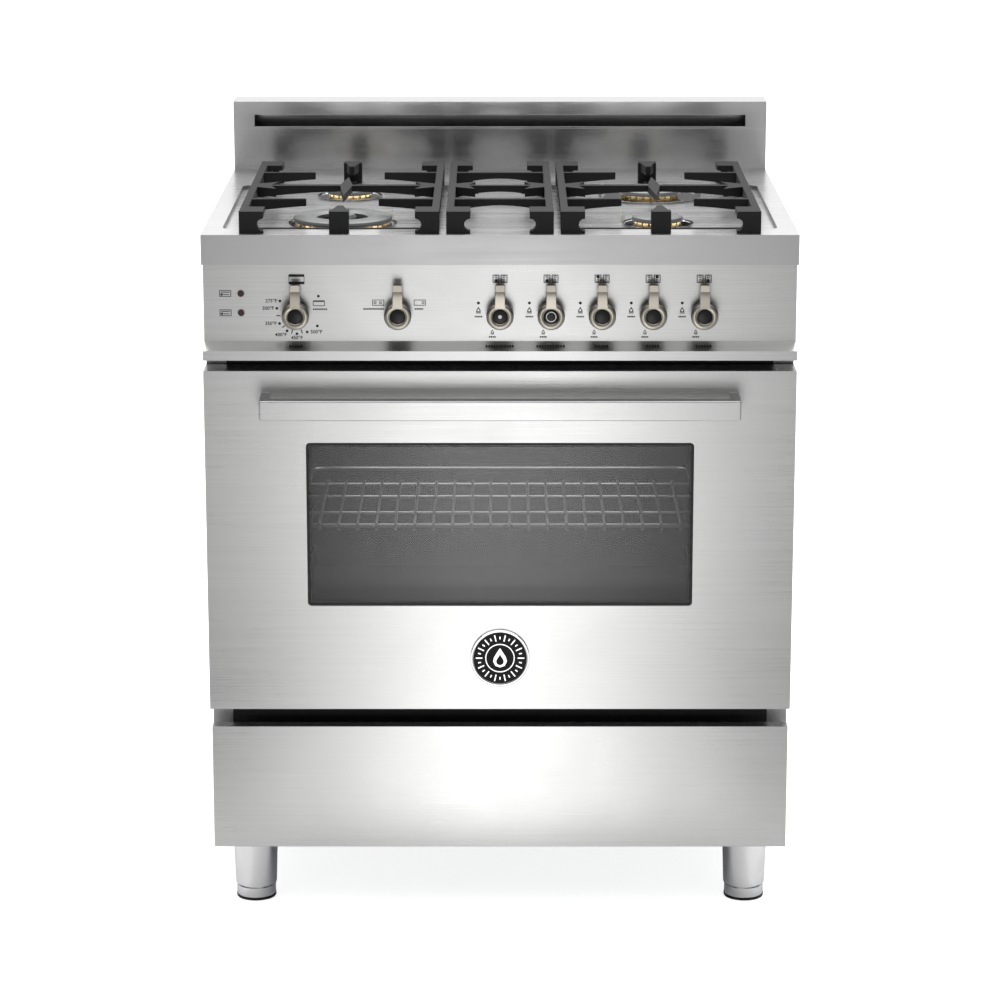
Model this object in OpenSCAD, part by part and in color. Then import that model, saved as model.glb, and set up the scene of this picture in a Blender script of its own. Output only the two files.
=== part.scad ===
// Freestanding gas range: sheet-metal body, hob with three pan supports, oven with a drop-down door,
// storage drawer and four adjustable legs. Millimetres, +Z up, the front faces -Y, and the origin is on
// the floor below the centre of the overall box.

/* [Body] */
// Overall width
body_w = 759; // [740:1:920]
// Depth from the front edge of the hob to the rear cover
body_d = 640; // [625:1:780]
// Height of the legs under the body
leg_h = 92; // [80:1:115]
// Sheet thickness of the folded panels
sheet_t = 1.5; // [1.2:0.1:2]
// Height of the backguard above the hob
backguard_h = 97; // [80:1:160]
// Depth of the backguard
backguard_d = 58; // [45:1:75]
// Height of the slotted cap of the backguard
cap_h = 38.4; // [30:0.1:50]
// How far the cap stands in front of the backguard face
cap_proud = 3; // [1:0.5:6]
// Length of the vent slot in the cap
slot_w = 699; // [400:1:720]
// Height of the vent slot
slot_h = 17; // [10:0.5:22]

/* [Front panels] */
// Height of the hob's front apron
apron_h = 38.5; // [34:0.5:60]
// Height of the upright face of the control panel
panel_h = 103.5; // [98:0.5:130]
// How far the control panel face is set back from the front
panel_recess = 26; // [24:0.5:32]
// Rise of the sloped ledge under the knobs
ledge_rise = 8; // [6:0.5:12]
// Height of the front lip under the ledge
lip_h = 12.3; // [10:0.1:20]
// Gap between the lip and the door
panel_gap = 13.7; // [8:0.1:20]
// Gap between the door and the drawer front, which is also the drawer's finger grip
drawer_gap = 25; // [24:0.5:40]
// Height of the drawer front
drawer_h = 166; // [150:1:220]
// Thickness of the drawer front
drawer_t = 20; // [16:0.5:24]
// How far the drawer front is set back from the door face
drawer_recess = 3; // [0:0.5:5]
// Depth of the drawer box behind its front
drawer_box_d = 450; // [380:1:460]

/* [Door] */
// Height of the door
door_h = 451; // [440:1:560]
// Thickness of the door
door_t = 46; // [44:0.5:50]
// Gap between the door and the front frame, filled by the seal
seal_gap = 6; // [5:0.5:8]
// Width of the window
window_w = 499; // [300:1:520]
// Height of the window
window_h = 217; // [120:1:230]
// Distance from the top of the door to the window
window_drop = 94; // [70:1:110]
// Corner radius of the window
window_r = 5; // [2:0.5:12]
// Thickness of the panes
pane_t = 4; // [3:0.5:5]
// Length of the handle bar
handle_w = 611; // [400:1:700]
// Height of the handle bar
handle_h = 26; // [18:0.5:30]
// Depth of the handle bar
handle_d = 17; // [12:0.5:22]
// Clear finger space behind the handle bar
handle_standoff = 40; // [34:0.5:50]
// Width of each handle bracket
bracket_w = 12; // [8:0.5:20]
// Distance from the top of the door to the handle bar
handle_drop = 27; // [15:0.5:40]
// Radius of the round badge
badge_r = 38.5; // [20:0.5:45]
// Thickness of the badge
badge_t = 3; // [2:0.5:4]
// Radius of the door hinge pins
hinge_pin_r = 4; // [3:0.1:5]
// Distance from the side of the door to each hinge
hinge_inset = 44.5; // [40:0.5:50]
// Distance from the door face back to the hinge pins
pivot_set = 31; // [30:0.5:32]
// Height of the hinge pins above the bottom of the door
pivot_rise = 13; // [12:0.5:14]

/* [Oven] */
// Width of the oven cavity
cavity_w = 570; // [560:1:590]
// Space between the back of the oven cavity and the back of the range
rear_space = 156.5; // [147:0.5:186]
// Height of the cavity floor above the bottom of the door
cavity_rise = 67; // [62:1:80]
// Distance from the cavity ceiling up to the top of the door
cavity_head = 29; // [24:1:40]
// Depth of the burner well under the floor plate
well_h = 23.5; // [22:0.5:30]
// Thickness of the insulation
insulation_t = 28; // [20:1:30]
// Height of the rack above the cavity floor
rack_h = 164; // [150:1:180]
// Wire radius of the rack's outer loop
rack_wire_r = 3; // [2:0.1:3.5]
// Wire radius of the rack's cross and lengthways wires
rack_fine_r = 2.2; // [1.5:0.1:2.6]
// Pitch of the rack's lengthways wires
rack_pitch = 24.9; // [20:0.1:30]
// Space left behind the rack for the fan cover
rack_space = 87.5; // [60:0.5:118]
// Radius of the fan shaft
fan_shaft_r = 4; // [3:0.1:5]
// Radius of the fan blade
fan_r = 80; // [60:1:90]

/* [Hob] */
// Width of the front rim of the hob
rim_d = 46; // [40:1:48]
// Width of the side rims of the hob
rim_side = 24; // [16:1:40]
// Depth of the pressed recess
recess_h = 6; // [4:0.5:7]
// Distance of the left and right burners from the centre line
burner_x = 204.5; // [200:0.5:215]
// Distance of the front burners from the front edge
burner_front = 119; // [118:1:125]
// Distance of the rear burners from the front edge
burner_rear = 356; // [350:1:360]
// Cap radius of the large double-ring burner, front left
wok_cap_r = 64.5; // [58:0.5:65]
// Cap radius of the small burner, rear left
small_cap_r = 31.5; // [28:0.5:36]
// Cap radius of the medium burner, rear right
medium_cap_r = 42; // [36:0.5:48]
// Cap radius of the small burner, front right
front_cap_r = 33.5; // [28:0.5:38]

/* [Pan supports] */
// Height of the pan supports above the hob rim
grate_h = 28; // [24:1:34]
// Overall width of the three pan supports
grates_w = 662.6; // [640:0.1:680]
// Width of the centre pan support
centre_w = 136.6; // [120:0.1:150]
// Gap between neighbouring pan supports
grate_gap = 9; // [6:0.5:14]
// Width of the cast bars
bar_w = 9.5; // [8:0.5:11]
// Distance of the pan supports from the front edge
grate_front = 11; // [8:1:16]
// Distance of the rear end of the pan supports from the front edge
grate_rear = 463; // [455:1:470]

/* [Controls] */
// Spacing of the knobs
knob_pitch = 65.2; // [60:0.1:68]
// Height of the knob axes above the ledge
knob_rise = 37; // [36:0.5:50]
// Radius of the knob ring
knob_r = 17.5; // [15:0.5:18]
// Length of the knob lever from the axis
lever_l = 40.5; // [30:0.5:40.5]
// Width of the knob lever
lever_w = 12.5; // [10:0.5:14]
// Radius of the valve stems
stem_r = 4; // [3:0.1:5]
// Travel of a gas knob when it is pushed in
push_travel = 3; // [2:0.5:3.5]
// Radius of the indicator lamps
lamp_r = 4; // [3:0.5:5]

/* [Legs] */
// Radius of the leg sleeves at the top
leg_r = 30; // [24:1:32]
// Radius of the adjustable feet
foot_r = 26; // [20:1:28]
// Height of the feet below the leg sleeves
foot_h = 20; // [15:1:26]
// Radius of the foot spindles
spindle_r = 8; // [6:0.5:10]
// Distance of the leg centres from the sides of the body
leg_inset_x = 51.5; // [45:0.5:60]
// Distance of the leg centres from the front and rear
leg_inset_y = 72; // [60:1:90]

/* [Gas and power] */
// Outer radius of the half-inch inlet nipple
inlet_r = 10.67; // [10.67:0.01:13.4]
// Length of the nipple behind the rear cover
inlet_reach = 18; // [15:1:25]
// Radius of the cord gland's hole
gland_r = 5.5; // [4:0.1:6]

/* [Clearances] */
// Radial clearance of shafts and pins that turn or slide
run_fit = 0.05; // [0.02:0.01:0.1]
// Gap between sheet parts that move past each other
slip_gap = 0.5; // [0.3:0.1:1]
// Radial clearance of fixed parts in their holes
hole_gap = 0.3; // [0.2:0.1:0.6]

/* [Hidden] */
$fn = 48;
eps = 0.01;
over = 1;

// Planes along Y
front_y = -(body_d + inlet_reach - handle_reach()) / 2;
rear_y = front_y + body_d;
bg_y = rear_y - backguard_d;
door_back_y = front_y + door_t;
frame_y = door_back_y + seal_gap;
liner_y = frame_y + sheet_t;
cavity_rear_y = rear_y - rear_space;
cavity_d = cavity_rear_y - liner_y;
insulation_rear_y = cavity_rear_y + sheet_t + insulation_t;
pivot_y = front_y + pivot_set;

// Planes along X
half_w = body_w / 2;
inner_w = half_w - sheet_t;
hinge_x = half_w - hinge_inset;
flange_w = 26;
frame_half_w = half_w - flange_w;

// Levels along Z
drawer_top_z = leg_h + drawer_h;
door_z = drawer_top_z + drawer_gap;
door_top_z = door_z + door_h;
lip_z = door_top_z + panel_gap;
lip_top_z = lip_z + lip_h;
face_z = lip_top_z + ledge_rise;
apron_z = face_z + panel_h;
hob_z = apron_z + apron_h;
top_z = hob_z + backguard_h;
pan_z = hob_z - recess_h;
pivot_z = door_z + pivot_rise;
cavity_z = door_z + cavity_rise;
cavity_top_z = door_top_z - cavity_head;
well_z = cavity_z - well_h;
knob_z = face_z + knob_rise;
rack_z = cavity_z + rack_h;
fan_z = (cavity_z + cavity_top_z) / 2;
grate_z = hob_z + grate_h;
floor_z = leg_h + sheet_t;

// Door window, centred on the door's width
window_z = door_top_z - window_drop - window_h;
pane_margin = 18;
pane_half_w = window_w / 2 + pane_margin;
inner_open = 6;
badge_z = (window_z + door_z) / 2;
handle_z = door_top_z - handle_drop - handle_h;

// Hinge parts
tongue_t = 5;
tongue_r = 7;
ear_t = 3;
ear_gap = tongue_t + 2 * slip_gap;
receiver_w = 24;
receiver_d = 90;
receiver_h = 56;

// Gas parts
rail_r = 10;
rail_y = front_y + 100;
valve_y = rail_y - rail_r - 30;
valve_d = 30;
bonnet_l = 15;
feed_x = half_w - 29.5;
feed_r = 8;
feed_y = rear_y - 40;
tube_r = 3;
inlet_z = leg_h + 108;
gland_x = -250;
gland_l = 12;
gland_wall = 3.5;
tail_z = well_z + well_h / 2 - sheet_t / 2;
tail_r = 7;
tail_y = insulation_rear_y + 30;
broil_z = cavity_top_z - 19;
burner_base_z = apron_z - 6;

// Knobs: place along X in pitches, and the gas ones also carry a stem
knob_hub_y = front_y - 4;
knob_ring_y = front_y + 8;
knob_back_y = front_y + panel_recess - 4;
stem_front_y = front_y;
stem_back_y = valve_y + 20;

// Burners: [x, y, cap radius, radius of the hole in a ring cap, radius of the polished bowl]
BURNERS = [
    [-burner_x, front_y + burner_front, wok_cap_r, 33, wok_cap_r + 6],
    [-burner_x, front_y + burner_rear, small_cap_r, 0, small_cap_r + 13.5],
    [burner_x, front_y + burner_rear, medium_cap_r, 0, medium_cap_r + 28],
    [burner_x, front_y + burner_front, front_cap_r, 0, front_cap_r + 13.5]
];
bowl_t = 1.6;
bowl_rim_h = 1.4;
cap_t = 7;
head_h = 7;
port_w = 2.4;
electrode_r = 3;

// Legs: which side and which end each one is on
LEGS = [[-1, -1], [1, -1], [-1, 1], [1, 1]];
sleeve_end_r = 27.5;
spindle_l = 62;
seat_gap = 0.4;

function handle_reach() = handle_standoff + handle_d;
function ledge_z(y) = lip_top_z + ledge_rise * y / panel_recess;
function burner_angle(b) = (b[0] < 0) ? 35 : 145;
function electrode_x(b) = b[0] + (b[4] + 7) * cos(burner_angle(b));
function electrode_y(b) = b[1] + (b[4] + 7) * sin(burner_angle(b));

// ---------- shared shapes ----------

// A box given by its two corners
module block(low, high) {
    translate(low) cube(high - low);
}

// A round bar between two points
module rod(a, b, r) {
    d = b - a;
    len = norm(d);
    translate(a) rotate([0, acos(d[2] / len), atan2(d[1], d[0])]) cylinder(h = len, r = r);
}

// A pipe along straight runs, with ball elbows at the bends
module pipe_run(points, r, elbow_r) {
    last = len(points) - 1;
    for (i = [0 : last - 1]) rod(points[i], points[i + 1], r);
    for (i = [1 : last - 1]) translate(points[i]) sphere(r = elbow_r);
}

// A cylinder along Y from y0 to y1
module rod_y(x, z, y0, y1, r) {
    translate([x, y0, z]) rotate([-90, 0, 0]) cylinder(h = y1 - y0, r = r);
}

// A cylinder along X from x0 to x1
module rod_x(y, z, x0, x1, r) {
    translate([x0, y, z]) rotate([0, 90, 0]) cylinder(h = x1 - x0, r = r);
}

// The child and its mirror image in the centre plane
module both_sides() {
    children();
    mirror([1, 0, 0]) children();
}

// A flat rectangle with round corners, centred
module round_rect(w, h, r) {
    square([w - 2 * r, h], center = true);
    square([w, h - 2 * r], center = true);
    for (sx = [-1, 1], sy = [-1, 1])
        translate([sx * (w / 2 - r), sy * (h / 2 - r)]) circle(r = r);
}

// A rectangle with round corners standing in the XZ plane, from y0 to y1
module round_plate(w, h, r, z0, y0, y1) {
    translate([0, y1, z0 + h / 2]) rotate([90, 0, 0]) linear_extrude(y1 - y0) round_rect(w, h, r);
}

// ---------- body ----------

module base_tray() {
    tray_y = front_y + drawer_recess + drawer_t + 8;
    lip = 12;
    color("gainsboro") difference() {
        union() {
            block([-inner_w, tray_y, leg_h], [inner_w, rear_y - sheet_t, floor_z]);
            both_sides()
                block([inner_w - sheet_t, liner_y, leg_h], [inner_w, rear_y - sheet_t, floor_z + lip]);
            block([-inner_w, rear_y - 2 * sheet_t, leg_h], [inner_w, rear_y - sheet_t, floor_z + lip]);
        }
        for (leg = LEGS) translate([leg_x(leg), leg_y(leg), leg_h - over])
            cylinder(h = sheet_t + 2 * over, r = spindle_r + 4);
    }
}

module side_panel() {
    top_flange = 14;
    color("silver") {
        block([inner_w, frame_y, leg_h], [half_w, rear_y - sheet_t, apron_z]);
        block([frame_half_w, frame_y, floor_z], [inner_w + eps, liner_y, apron_z]);
        block([inner_w - top_flange, frame_y, apron_z - sheet_t],
              [inner_w + eps, rear_y - sheet_t, apron_z]);
    }
}

module side_panel_left() {
    mirror([1, 0, 0]) side_panel();
}

module side_panel_right() {
    side_panel();
}

module rear_cover() {
    vent_w = 60;
    vent_h = 6;
    vent_pitch = 16;
    vent_count = 6;
    color("darkgray") difference() {
        union() {
            block([-half_w, rear_y - sheet_t, leg_h], [half_w, rear_y, apron_z]);
            rod_y(gland_x, inlet_z, rear_y - gland_l + 3, rear_y + 3, gland_r + gland_wall);
        }
        rod_y(gland_x, inlet_z, rear_y - gland_l, rear_y + 4, gland_r);
        rod_y(feed_x - 20, inlet_z, rear_y - 2 * sheet_t, rear_y + over, inlet_r + 11);
        for (side = [-1, 0, 1], i = [0 : vent_count - 1])
            translate([side * 200 - vent_w / 2, rear_y - sheet_t - over, hob_z - 180 - i * vent_pitch])
                cube([vent_w, sheet_t + 2 * over, vent_h]);
        for (p = screw_places())
            rod_y(p[0], p[1], rear_y - sheet_t - over, rear_y + over, screw_r + hole_gap);
    }
}

screw_r = 2;
screw_head_r = 4;
function screw_places() = [
    for (sx = [-1, 1], k = [0 : 3]) [sx * (half_w - 9), leg_h + 30 + k * (apron_z - leg_h - 60) / 3]
];

module cover_screws() {
    color("dimgray") for (p = screw_places()) {
        rod_y(p[0], p[1], rear_y - 9, rear_y + eps, screw_r);
        translate([p[0], rear_y, p[1]]) rotate([-90, 0, 0])
            cylinder(h = 2.2, r1 = screw_head_r, r2 = screw_head_r - 1);
    }
}

module cooktop() {
    deck_t = 2;
    recess_rear = front_y + grate_rear - (rim_d - grate_front);
    recess_w = body_w - 2 * rim_side;
    recess_d = recess_rear - (front_y + rim_d);
    recess_mid = (recess_rear + front_y + rim_d) / 2;
    corner_r = 14;
    color("gainsboro") difference() {
        union() {
            difference() {
                block([-half_w, front_y, apron_z], [half_w, bg_y, hob_z]);
                block([-half_w + deck_t, front_y + deck_t, apron_z - over],
                      [half_w - deck_t, bg_y - deck_t, hob_z - deck_t]);
            }
            translate([0, recess_mid, pan_z - deck_t]) linear_extrude(recess_h + deck_t)
                round_rect(recess_w + 2 * deck_t, recess_d + 2 * deck_t, corner_r + deck_t);
        }
        translate([0, recess_mid, pan_z]) linear_extrude(recess_h + over)
            round_rect(recess_w, recess_d, corner_r);
        for (b = BURNERS) {
            translate([b[0], b[1], pan_z - deck_t - over])
                cylinder(h = deck_t + 2 * over, r = cup_r(b) + hole_gap);
            translate([electrode_x(b), electrode_y(b), pan_z - deck_t - over])
                cylinder(h = deck_t + 2 * over, r = electrode_r + hole_gap);
        }
    }
}

// The bent control panel: upright face, sloped ledge, lip and bottom return, closed at both ends
module control_panel() {
    bend = sheet_t / cos(atan(ledge_rise / panel_recess));
    color("silver") difference() {
        translate([-half_w, 0, 0]) rotate([90, 0, 90]) linear_extrude(body_w) polygon([
            [front_y + panel_recess, apron_z],
            [front_y + panel_recess, face_z],
            [front_y, lip_top_z],
            [front_y, lip_z],
            [frame_y, lip_z],
            [frame_y, apron_z]
        ]);
        translate([-inner_w, 0, 0]) rotate([90, 0, 90]) linear_extrude(2 * inner_w) polygon([
            [front_y + panel_recess + sheet_t, apron_z + over],
            [front_y + panel_recess + sheet_t, ledge_z(panel_recess + sheet_t) - bend],
            [front_y + sheet_t, ledge_z(sheet_t) - bend],
            [front_y + sheet_t, lip_z + sheet_t],
            [frame_y + over, lip_z + sheet_t],
            [frame_y + over, apron_z + over]
        ]);
        for (i = [0 : 6]) rod_y(knob_x(i), knob_z, front_y, frame_y, stem_r + 3);
        for (z = lamp_levels()) rod_y(lamp_x, z, front_y, frame_y, lamp_r + hole_gap);
    }
}

lamp_x = -half_w + 48;
function lamp_levels() = [knob_z, knob_z + 25];

// Knob places in pitches from the middle one: the oven controls stand two pitches apart
KNOB_STEPS = [-4, -2, 0, 1, 2, 3, 4];
function knob_x(i) = KNOB_STEPS[i] * knob_pitch;

module indicator_lamps() {
    color("darkred") for (z = lamp_levels()) {
        rod_y(lamp_x, z, front_y + panel_recess - 2, front_y + panel_recess + 16, lamp_r);
        rod_y(lamp_x, z, front_y + panel_recess + sheet_t, front_y + panel_recess + 4, lamp_r + 2);
    }
}

module backguard() {
    cap_z = top_z - cap_h;
    slot_z = cap_z + 2.7;
    color("silver") difference() {
        union() {
            block([-half_w, bg_y, apron_z], [half_w, rear_y, top_z]);
            block([-half_w, bg_y - cap_proud, cap_z], [half_w, bg_y + over, top_z]);
        }
        block([-inner_w, bg_y + sheet_t, apron_z - over], [inner_w, rear_y - sheet_t, top_z - sheet_t]);
        block([-inner_w, bg_y - cap_proud + sheet_t, cap_z + sheet_t],
              [inner_w, bg_y + 2 * sheet_t, top_z - sheet_t]);
        block([-slot_w / 2, bg_y - cap_proud - over, slot_z], [slot_w / 2, bg_y + over, slot_z + slot_h]);
    }
}

// ---------- oven ----------

flue_x = 150;
flue_w = 100;
flue_t = 24;
flue_z = cavity_top_z - 30;
flue_y = bg_y + 8;
motor_tube_r = 45;
lamp_hole_x = -200;
lamp_hole_z = cavity_top_z - 65;
socket_r = 20;

module oven_liner() {
    side = cavity_w / 2;
    color("dimgray") difference() {
        union() {
            block([-side - sheet_t, liner_y, well_z - sheet_t],
                  [side + sheet_t, cavity_rear_y + sheet_t, cavity_top_z + sheet_t]);
            block([flue_x, cavity_rear_y, flue_z], [flue_x + flue_w, flue_y + flue_t, flue_z + flue_t]);
            block([flue_x, flue_y, flue_z], [flue_x + flue_w, flue_y + flue_t, apron_z]);
        }
        block([-side, liner_y - over, well_z], [side, cavity_rear_y, cavity_top_z]);
        block([flue_x + sheet_t, cavity_rear_y - over, flue_z + sheet_t],
              [flue_x + flue_w - sheet_t, flue_y + flue_t - sheet_t, flue_z + flue_t - sheet_t]);
        block([flue_x + sheet_t, flue_y + sheet_t, flue_z + sheet_t],
              [flue_x + flue_w - sheet_t, flue_y + flue_t - sheet_t, apron_z + over]);
        rod_y(0, fan_z, cavity_rear_y - over, cavity_rear_y + 2 * sheet_t, fan_shaft_r + 4);
        rod_y(lamp_hole_x, lamp_hole_z, cavity_rear_y - over, cavity_rear_y + 2 * sheet_t,
              socket_r + hole_gap);
        for (z = [tail_z, broil_z])
            rod_y(0, z, cavity_rear_y - over, cavity_rear_y + 2 * sheet_t, tail_r + hole_gap);
    }
}

module oven_insulation() {
    side = cavity_w / 2 + sheet_t;
    color("khaki") difference() {
        block([-side - insulation_t, liner_y, well_z - sheet_t - insulation_t],
              [side + insulation_t, insulation_rear_y, cavity_top_z + sheet_t + insulation_t]);
        block([-side, liner_y - over, well_z - sheet_t],
              [side, cavity_rear_y + sheet_t, cavity_top_z + sheet_t]);
        block([flue_x - hole_gap, cavity_rear_y, flue_z - hole_gap],
              [flue_x + flue_w + hole_gap, insulation_rear_y + over, flue_z + flue_t + hole_gap]);
        rod_y(0, fan_z, cavity_rear_y, insulation_rear_y + over, motor_tube_r + hole_gap);
        rod_y(lamp_hole_x, lamp_hole_z, cavity_rear_y, insulation_rear_y + over, socket_r + hole_gap);
        for (z = [tail_z, broil_z])
            rod_y(0, z, cavity_rear_y, insulation_rear_y + over, tail_r + hole_gap);
    }
}

module oven_front_frame() {
    bottom = drawer_top_z - 13;
    slot_half = receiver_w / 2 - 4;
    color("black") difference() {
        block([-frame_half_w, frame_y, bottom], [frame_half_w, liner_y, lip_z]);
        block([-cavity_w / 2, frame_y - over, cavity_z], [cavity_w / 2, liner_y + over, cavity_top_z]);
        both_sides() block([hinge_x - slot_half, frame_y - over, pivot_z - tongue_r - 1],
                           [hinge_x + slot_half, liner_y + over, pivot_z + tongue_r + 1]);
    }
}

module door_gasket() {
    inset = 9;
    band = 10;
    color("darkslategray") difference() {
        round_plate(cavity_w + 2 * (inset + band), cavity_top_z - cavity_z + 2 * (inset + band), 20,
                    cavity_z - inset - band, door_back_y + 0.3, frame_y);
        round_plate(cavity_w + 2 * inset, cavity_top_z - cavity_z + 2 * inset, 10,
                    cavity_z - inset, door_back_y - over, frame_y + over);
    }
}

guide_r = 2.5;
rack_front_gap = 8.5;
rack_front_y = liner_y + rack_front_gap + rack_wire_r;
rack_rear_y = cavity_rear_y - rack_space;
rack_rail_x = 10.5 * rack_pitch + 2.5;
guide_drop = rack_wire_r + guide_r + hole_gap;
guide_pitch = 60;

module rack_guides() {
    post_x = rack_rail_x + rack_wire_r + guide_r + 1.5;
    posts = [liner_y + 60, cavity_rear_y - 90];
    levels = [for (k = [-2 : 2]) rack_z - guide_drop + k * guide_pitch];
    color("silver") both_sides() {
        for (y = posts) {
            rod([post_x, y, levels[0] - 12], [post_x, y, levels[4] + 20], guide_r);
            for (z = [levels[0] - 6, levels[4] + 14]) rod([post_x, y, z], [cavity_w / 2, y, z], guide_r);
            for (z = levels) rod([rack_rail_x, y, z], [post_x, y, z], guide_r - 0.4);
        }
        for (z = levels) rod([rack_rail_x, liner_y + 14, z], [rack_rail_x, cavity_rear_y - 45, z], guide_r);
    }
}

module oven_burners() {
    arm_x = 150;
    rear = cavity_rear_y - 45;
    elbow = tail_r + 2;
    broil_half_w = 130;
    broil_front_y = liner_y + 150;
    broil_rear_y = cavity_rear_y - 79;
    broil_h = 22;
    hanger_x = 100;
    hanger_w = 10;
    color("lightgray") {
        pipe_run([[0, tail_y, tail_z], [0, rear, tail_z], [arm_x, rear, tail_z],
                  [arm_x, liner_y + 60, tail_z]], tail_r, elbow);
        pipe_run([[0, rear, tail_z], [-arm_x, rear, tail_z], [-arm_x, liner_y + 60, tail_z]],
                 tail_r, elbow);
        both_sides() block([arm_x - 5, liner_y + 90, well_z], [arm_x + 5, liner_y + 100, tail_z]);
        rod([0, tail_y, broil_z], [0, broil_rear_y - sheet_t / 2, broil_z], tail_r);
        difference() {
            block([-broil_half_w, broil_front_y, broil_z - broil_h / 2],
                  [broil_half_w, broil_rear_y, broil_z + broil_h / 2]);
            block([-broil_half_w + sheet_t, broil_front_y + sheet_t, broil_z - broil_h / 2 - over],
                  [broil_half_w - sheet_t, broil_rear_y - sheet_t, broil_z + broil_h / 2 - sheet_t]);
        }
        both_sides() translate([hanger_x, broil_front_y + 50, broil_z + broil_h / 2 - eps])
            cube([hanger_w, hanger_w, cavity_top_z - broil_z - broil_h / 2 + eps]);
    }
}

module oven_floor_plate() {
    half = cavity_w / 2 - 1;
    vent_w = 8;
    vent_pitch = (cavity_d - 110) / 4;
    vent_l = 0.62 * vent_pitch;
    color("dimgray") {
        difference() {
            block([-half, liner_y + 1, cavity_z - sheet_t], [half, cavity_rear_y - 1, cavity_z]);
            both_sides() for (k = [0 : 3])
                translate([half - 30, liner_y + 60 + k * vent_pitch, cavity_z - 2 * sheet_t])
                    cube([vent_w, vent_l, 3 * sheet_t]);
        }
        both_sides() block([half - 10, liner_y + 1, well_z],
                           [half - 10 + sheet_t, cavity_rear_y - 1, cavity_z - eps]);
    }
}

cover_half = fan_r + 30;
cover_d = 40;

module fan_cover() {
    slots = 9;
    slot_pitch = 16;
    color("gray") difference() {
        block([-cover_half, cavity_rear_y - cover_d, fan_z - cover_half],
              [cover_half, cavity_rear_y, fan_z + cover_half]);
        block([-cover_half + sheet_t, cavity_rear_y - cover_d + sheet_t, fan_z - cover_half + sheet_t],
              [cover_half - sheet_t, cavity_rear_y + over, fan_z + cover_half - sheet_t]);
        for (k = [0 : slots - 1]) let (z = (k - (slots - 1) / 2) * slot_pitch)
            block([-fan_r + abs(z) / 2, cavity_rear_y - cover_d - over, fan_z + z - 2.5],
                  [fan_r - abs(z) / 2, cavity_rear_y - cover_d + 2 * sheet_t, fan_z + z + 2.5]);
    }
}

motor_y = insulation_rear_y + 6;
motor_r = 40;
bearing_l = 20;

module fan_motor() {
    color("slategray") difference() {
        union() {
            rod_y(0, fan_z, cavity_rear_y + sheet_t, motor_y, motor_tube_r);
            rod_y(0, fan_z, motor_y - eps, motor_y + 50, motor_r);
        }
        rod_y(0, fan_z, cavity_rear_y, motor_y - 3, motor_tube_r - 3);
        rod_y(0, fan_z, motor_y - 4, motor_y + bearing_l, fan_shaft_r + run_fit);
    }
}

module fan_blade() {
    blades = 8;
    disc_y = cavity_rear_y - 10;
    color("lightsteelblue") {
        rod_y(0, fan_z, disc_y - 14, motor_y + bearing_l - 2, fan_shaft_r);
        rod_y(0, fan_z, disc_y - 12, disc_y, 12);
        rod_y(0, fan_z, disc_y - 2, disc_y, fan_r);
        for (i = [0 : blades - 1]) translate([0, 0, fan_z]) rotate([0, i * 360 / blades, 0])
            block([fan_r - 34, disc_y - 18, -1], [fan_r - 2, disc_y - 2 + eps, 1]);
    }
}

module oven_lamp() {
    color("ivory") {
        rod_y(lamp_hole_x, lamp_hole_z, cavity_rear_y - 6, insulation_rear_y + 8, socket_r);
        rod_y(lamp_hole_x, lamp_hole_z, cavity_rear_y - 24, cavity_rear_y - 6 + eps, socket_r - 4);
    }
}

// Left and right hinge receivers: a housing behind the front frame and the tongue that enters the door
module hinge_receivers() {
    color("slategray") both_sides() difference() {
        union() {
            block([hinge_x - receiver_w / 2, liner_y, pivot_z - receiver_h / 2],
                  [hinge_x + receiver_w / 2, liner_y + receiver_d, pivot_z + receiver_h / 2]);
            block([hinge_x - tongue_t / 2, pivot_y, pivot_z - tongue_r],
                  [hinge_x + tongue_t / 2, liner_y + eps, pivot_z + tongue_r]);
            rod_x(pivot_y, pivot_z, hinge_x - tongue_t / 2, hinge_x + tongue_t / 2, tongue_r);
        }
        rod_x(pivot_y, pivot_z, hinge_x - receiver_w, hinge_x + receiver_w, hinge_pin_r + run_fit);
        block([hinge_x - receiver_w / 2 + 3, liner_y + 3, pivot_z - receiver_h / 2 + 3],
              [hinge_x + receiver_w / 2 - 3, liner_y + receiver_d + over, pivot_z + receiver_h / 2 - 3]);
    }
}

// ---------- gas and controls ----------

module gas_manifold() {
    elbow_r = feed_r + 2;
    nipple_x = feed_x - 20;
    color("goldenrod") {
        rod_x(rail_y, knob_z, -300, feed_x, rail_r);
        translate([feed_x, rail_y, knob_z]) sphere(r = rail_r + 1.5);
        pipe_run([[feed_x, rail_y, knob_z], [feed_x, feed_y, knob_z], [feed_x, feed_y, inlet_z],
                  [nipple_x, feed_y, inlet_z], [nipple_x, rear_y - 8, inlet_z]], feed_r, elbow_r);
        rod_y(nipple_x, inlet_z, rear_y - 12, rear_y, inlet_r + 4);
        rod_y(nipple_x, inlet_z, rear_y - eps, rear_y + inlet_reach, inlet_r);
    }
}

// A valve body on the rail, with the bore that guides its stem
module valve(x) {
    difference() {
        union() {
            block([x - 14, valve_y, knob_z - 17], [x + 14, valve_y + valve_d, knob_z + 17]);
            rod_y(x, knob_z, valve_y - bonnet_l, valve_y + eps, 10);
        }
        rod_y(x, knob_z, valve_y - bonnet_l - over, stem_back_y + push_travel + 1, stem_r + run_fit);
    }
}

// Feed tubes of the hob valves: [knob, burner, level, sideways offset under the burner]
FEEDS = [[2, 0, 0, 14], [3, 0, 1, -14], [4, 1, 2, 0], [5, 2, 0, 0], [6, 3, 1, 0]];

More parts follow.
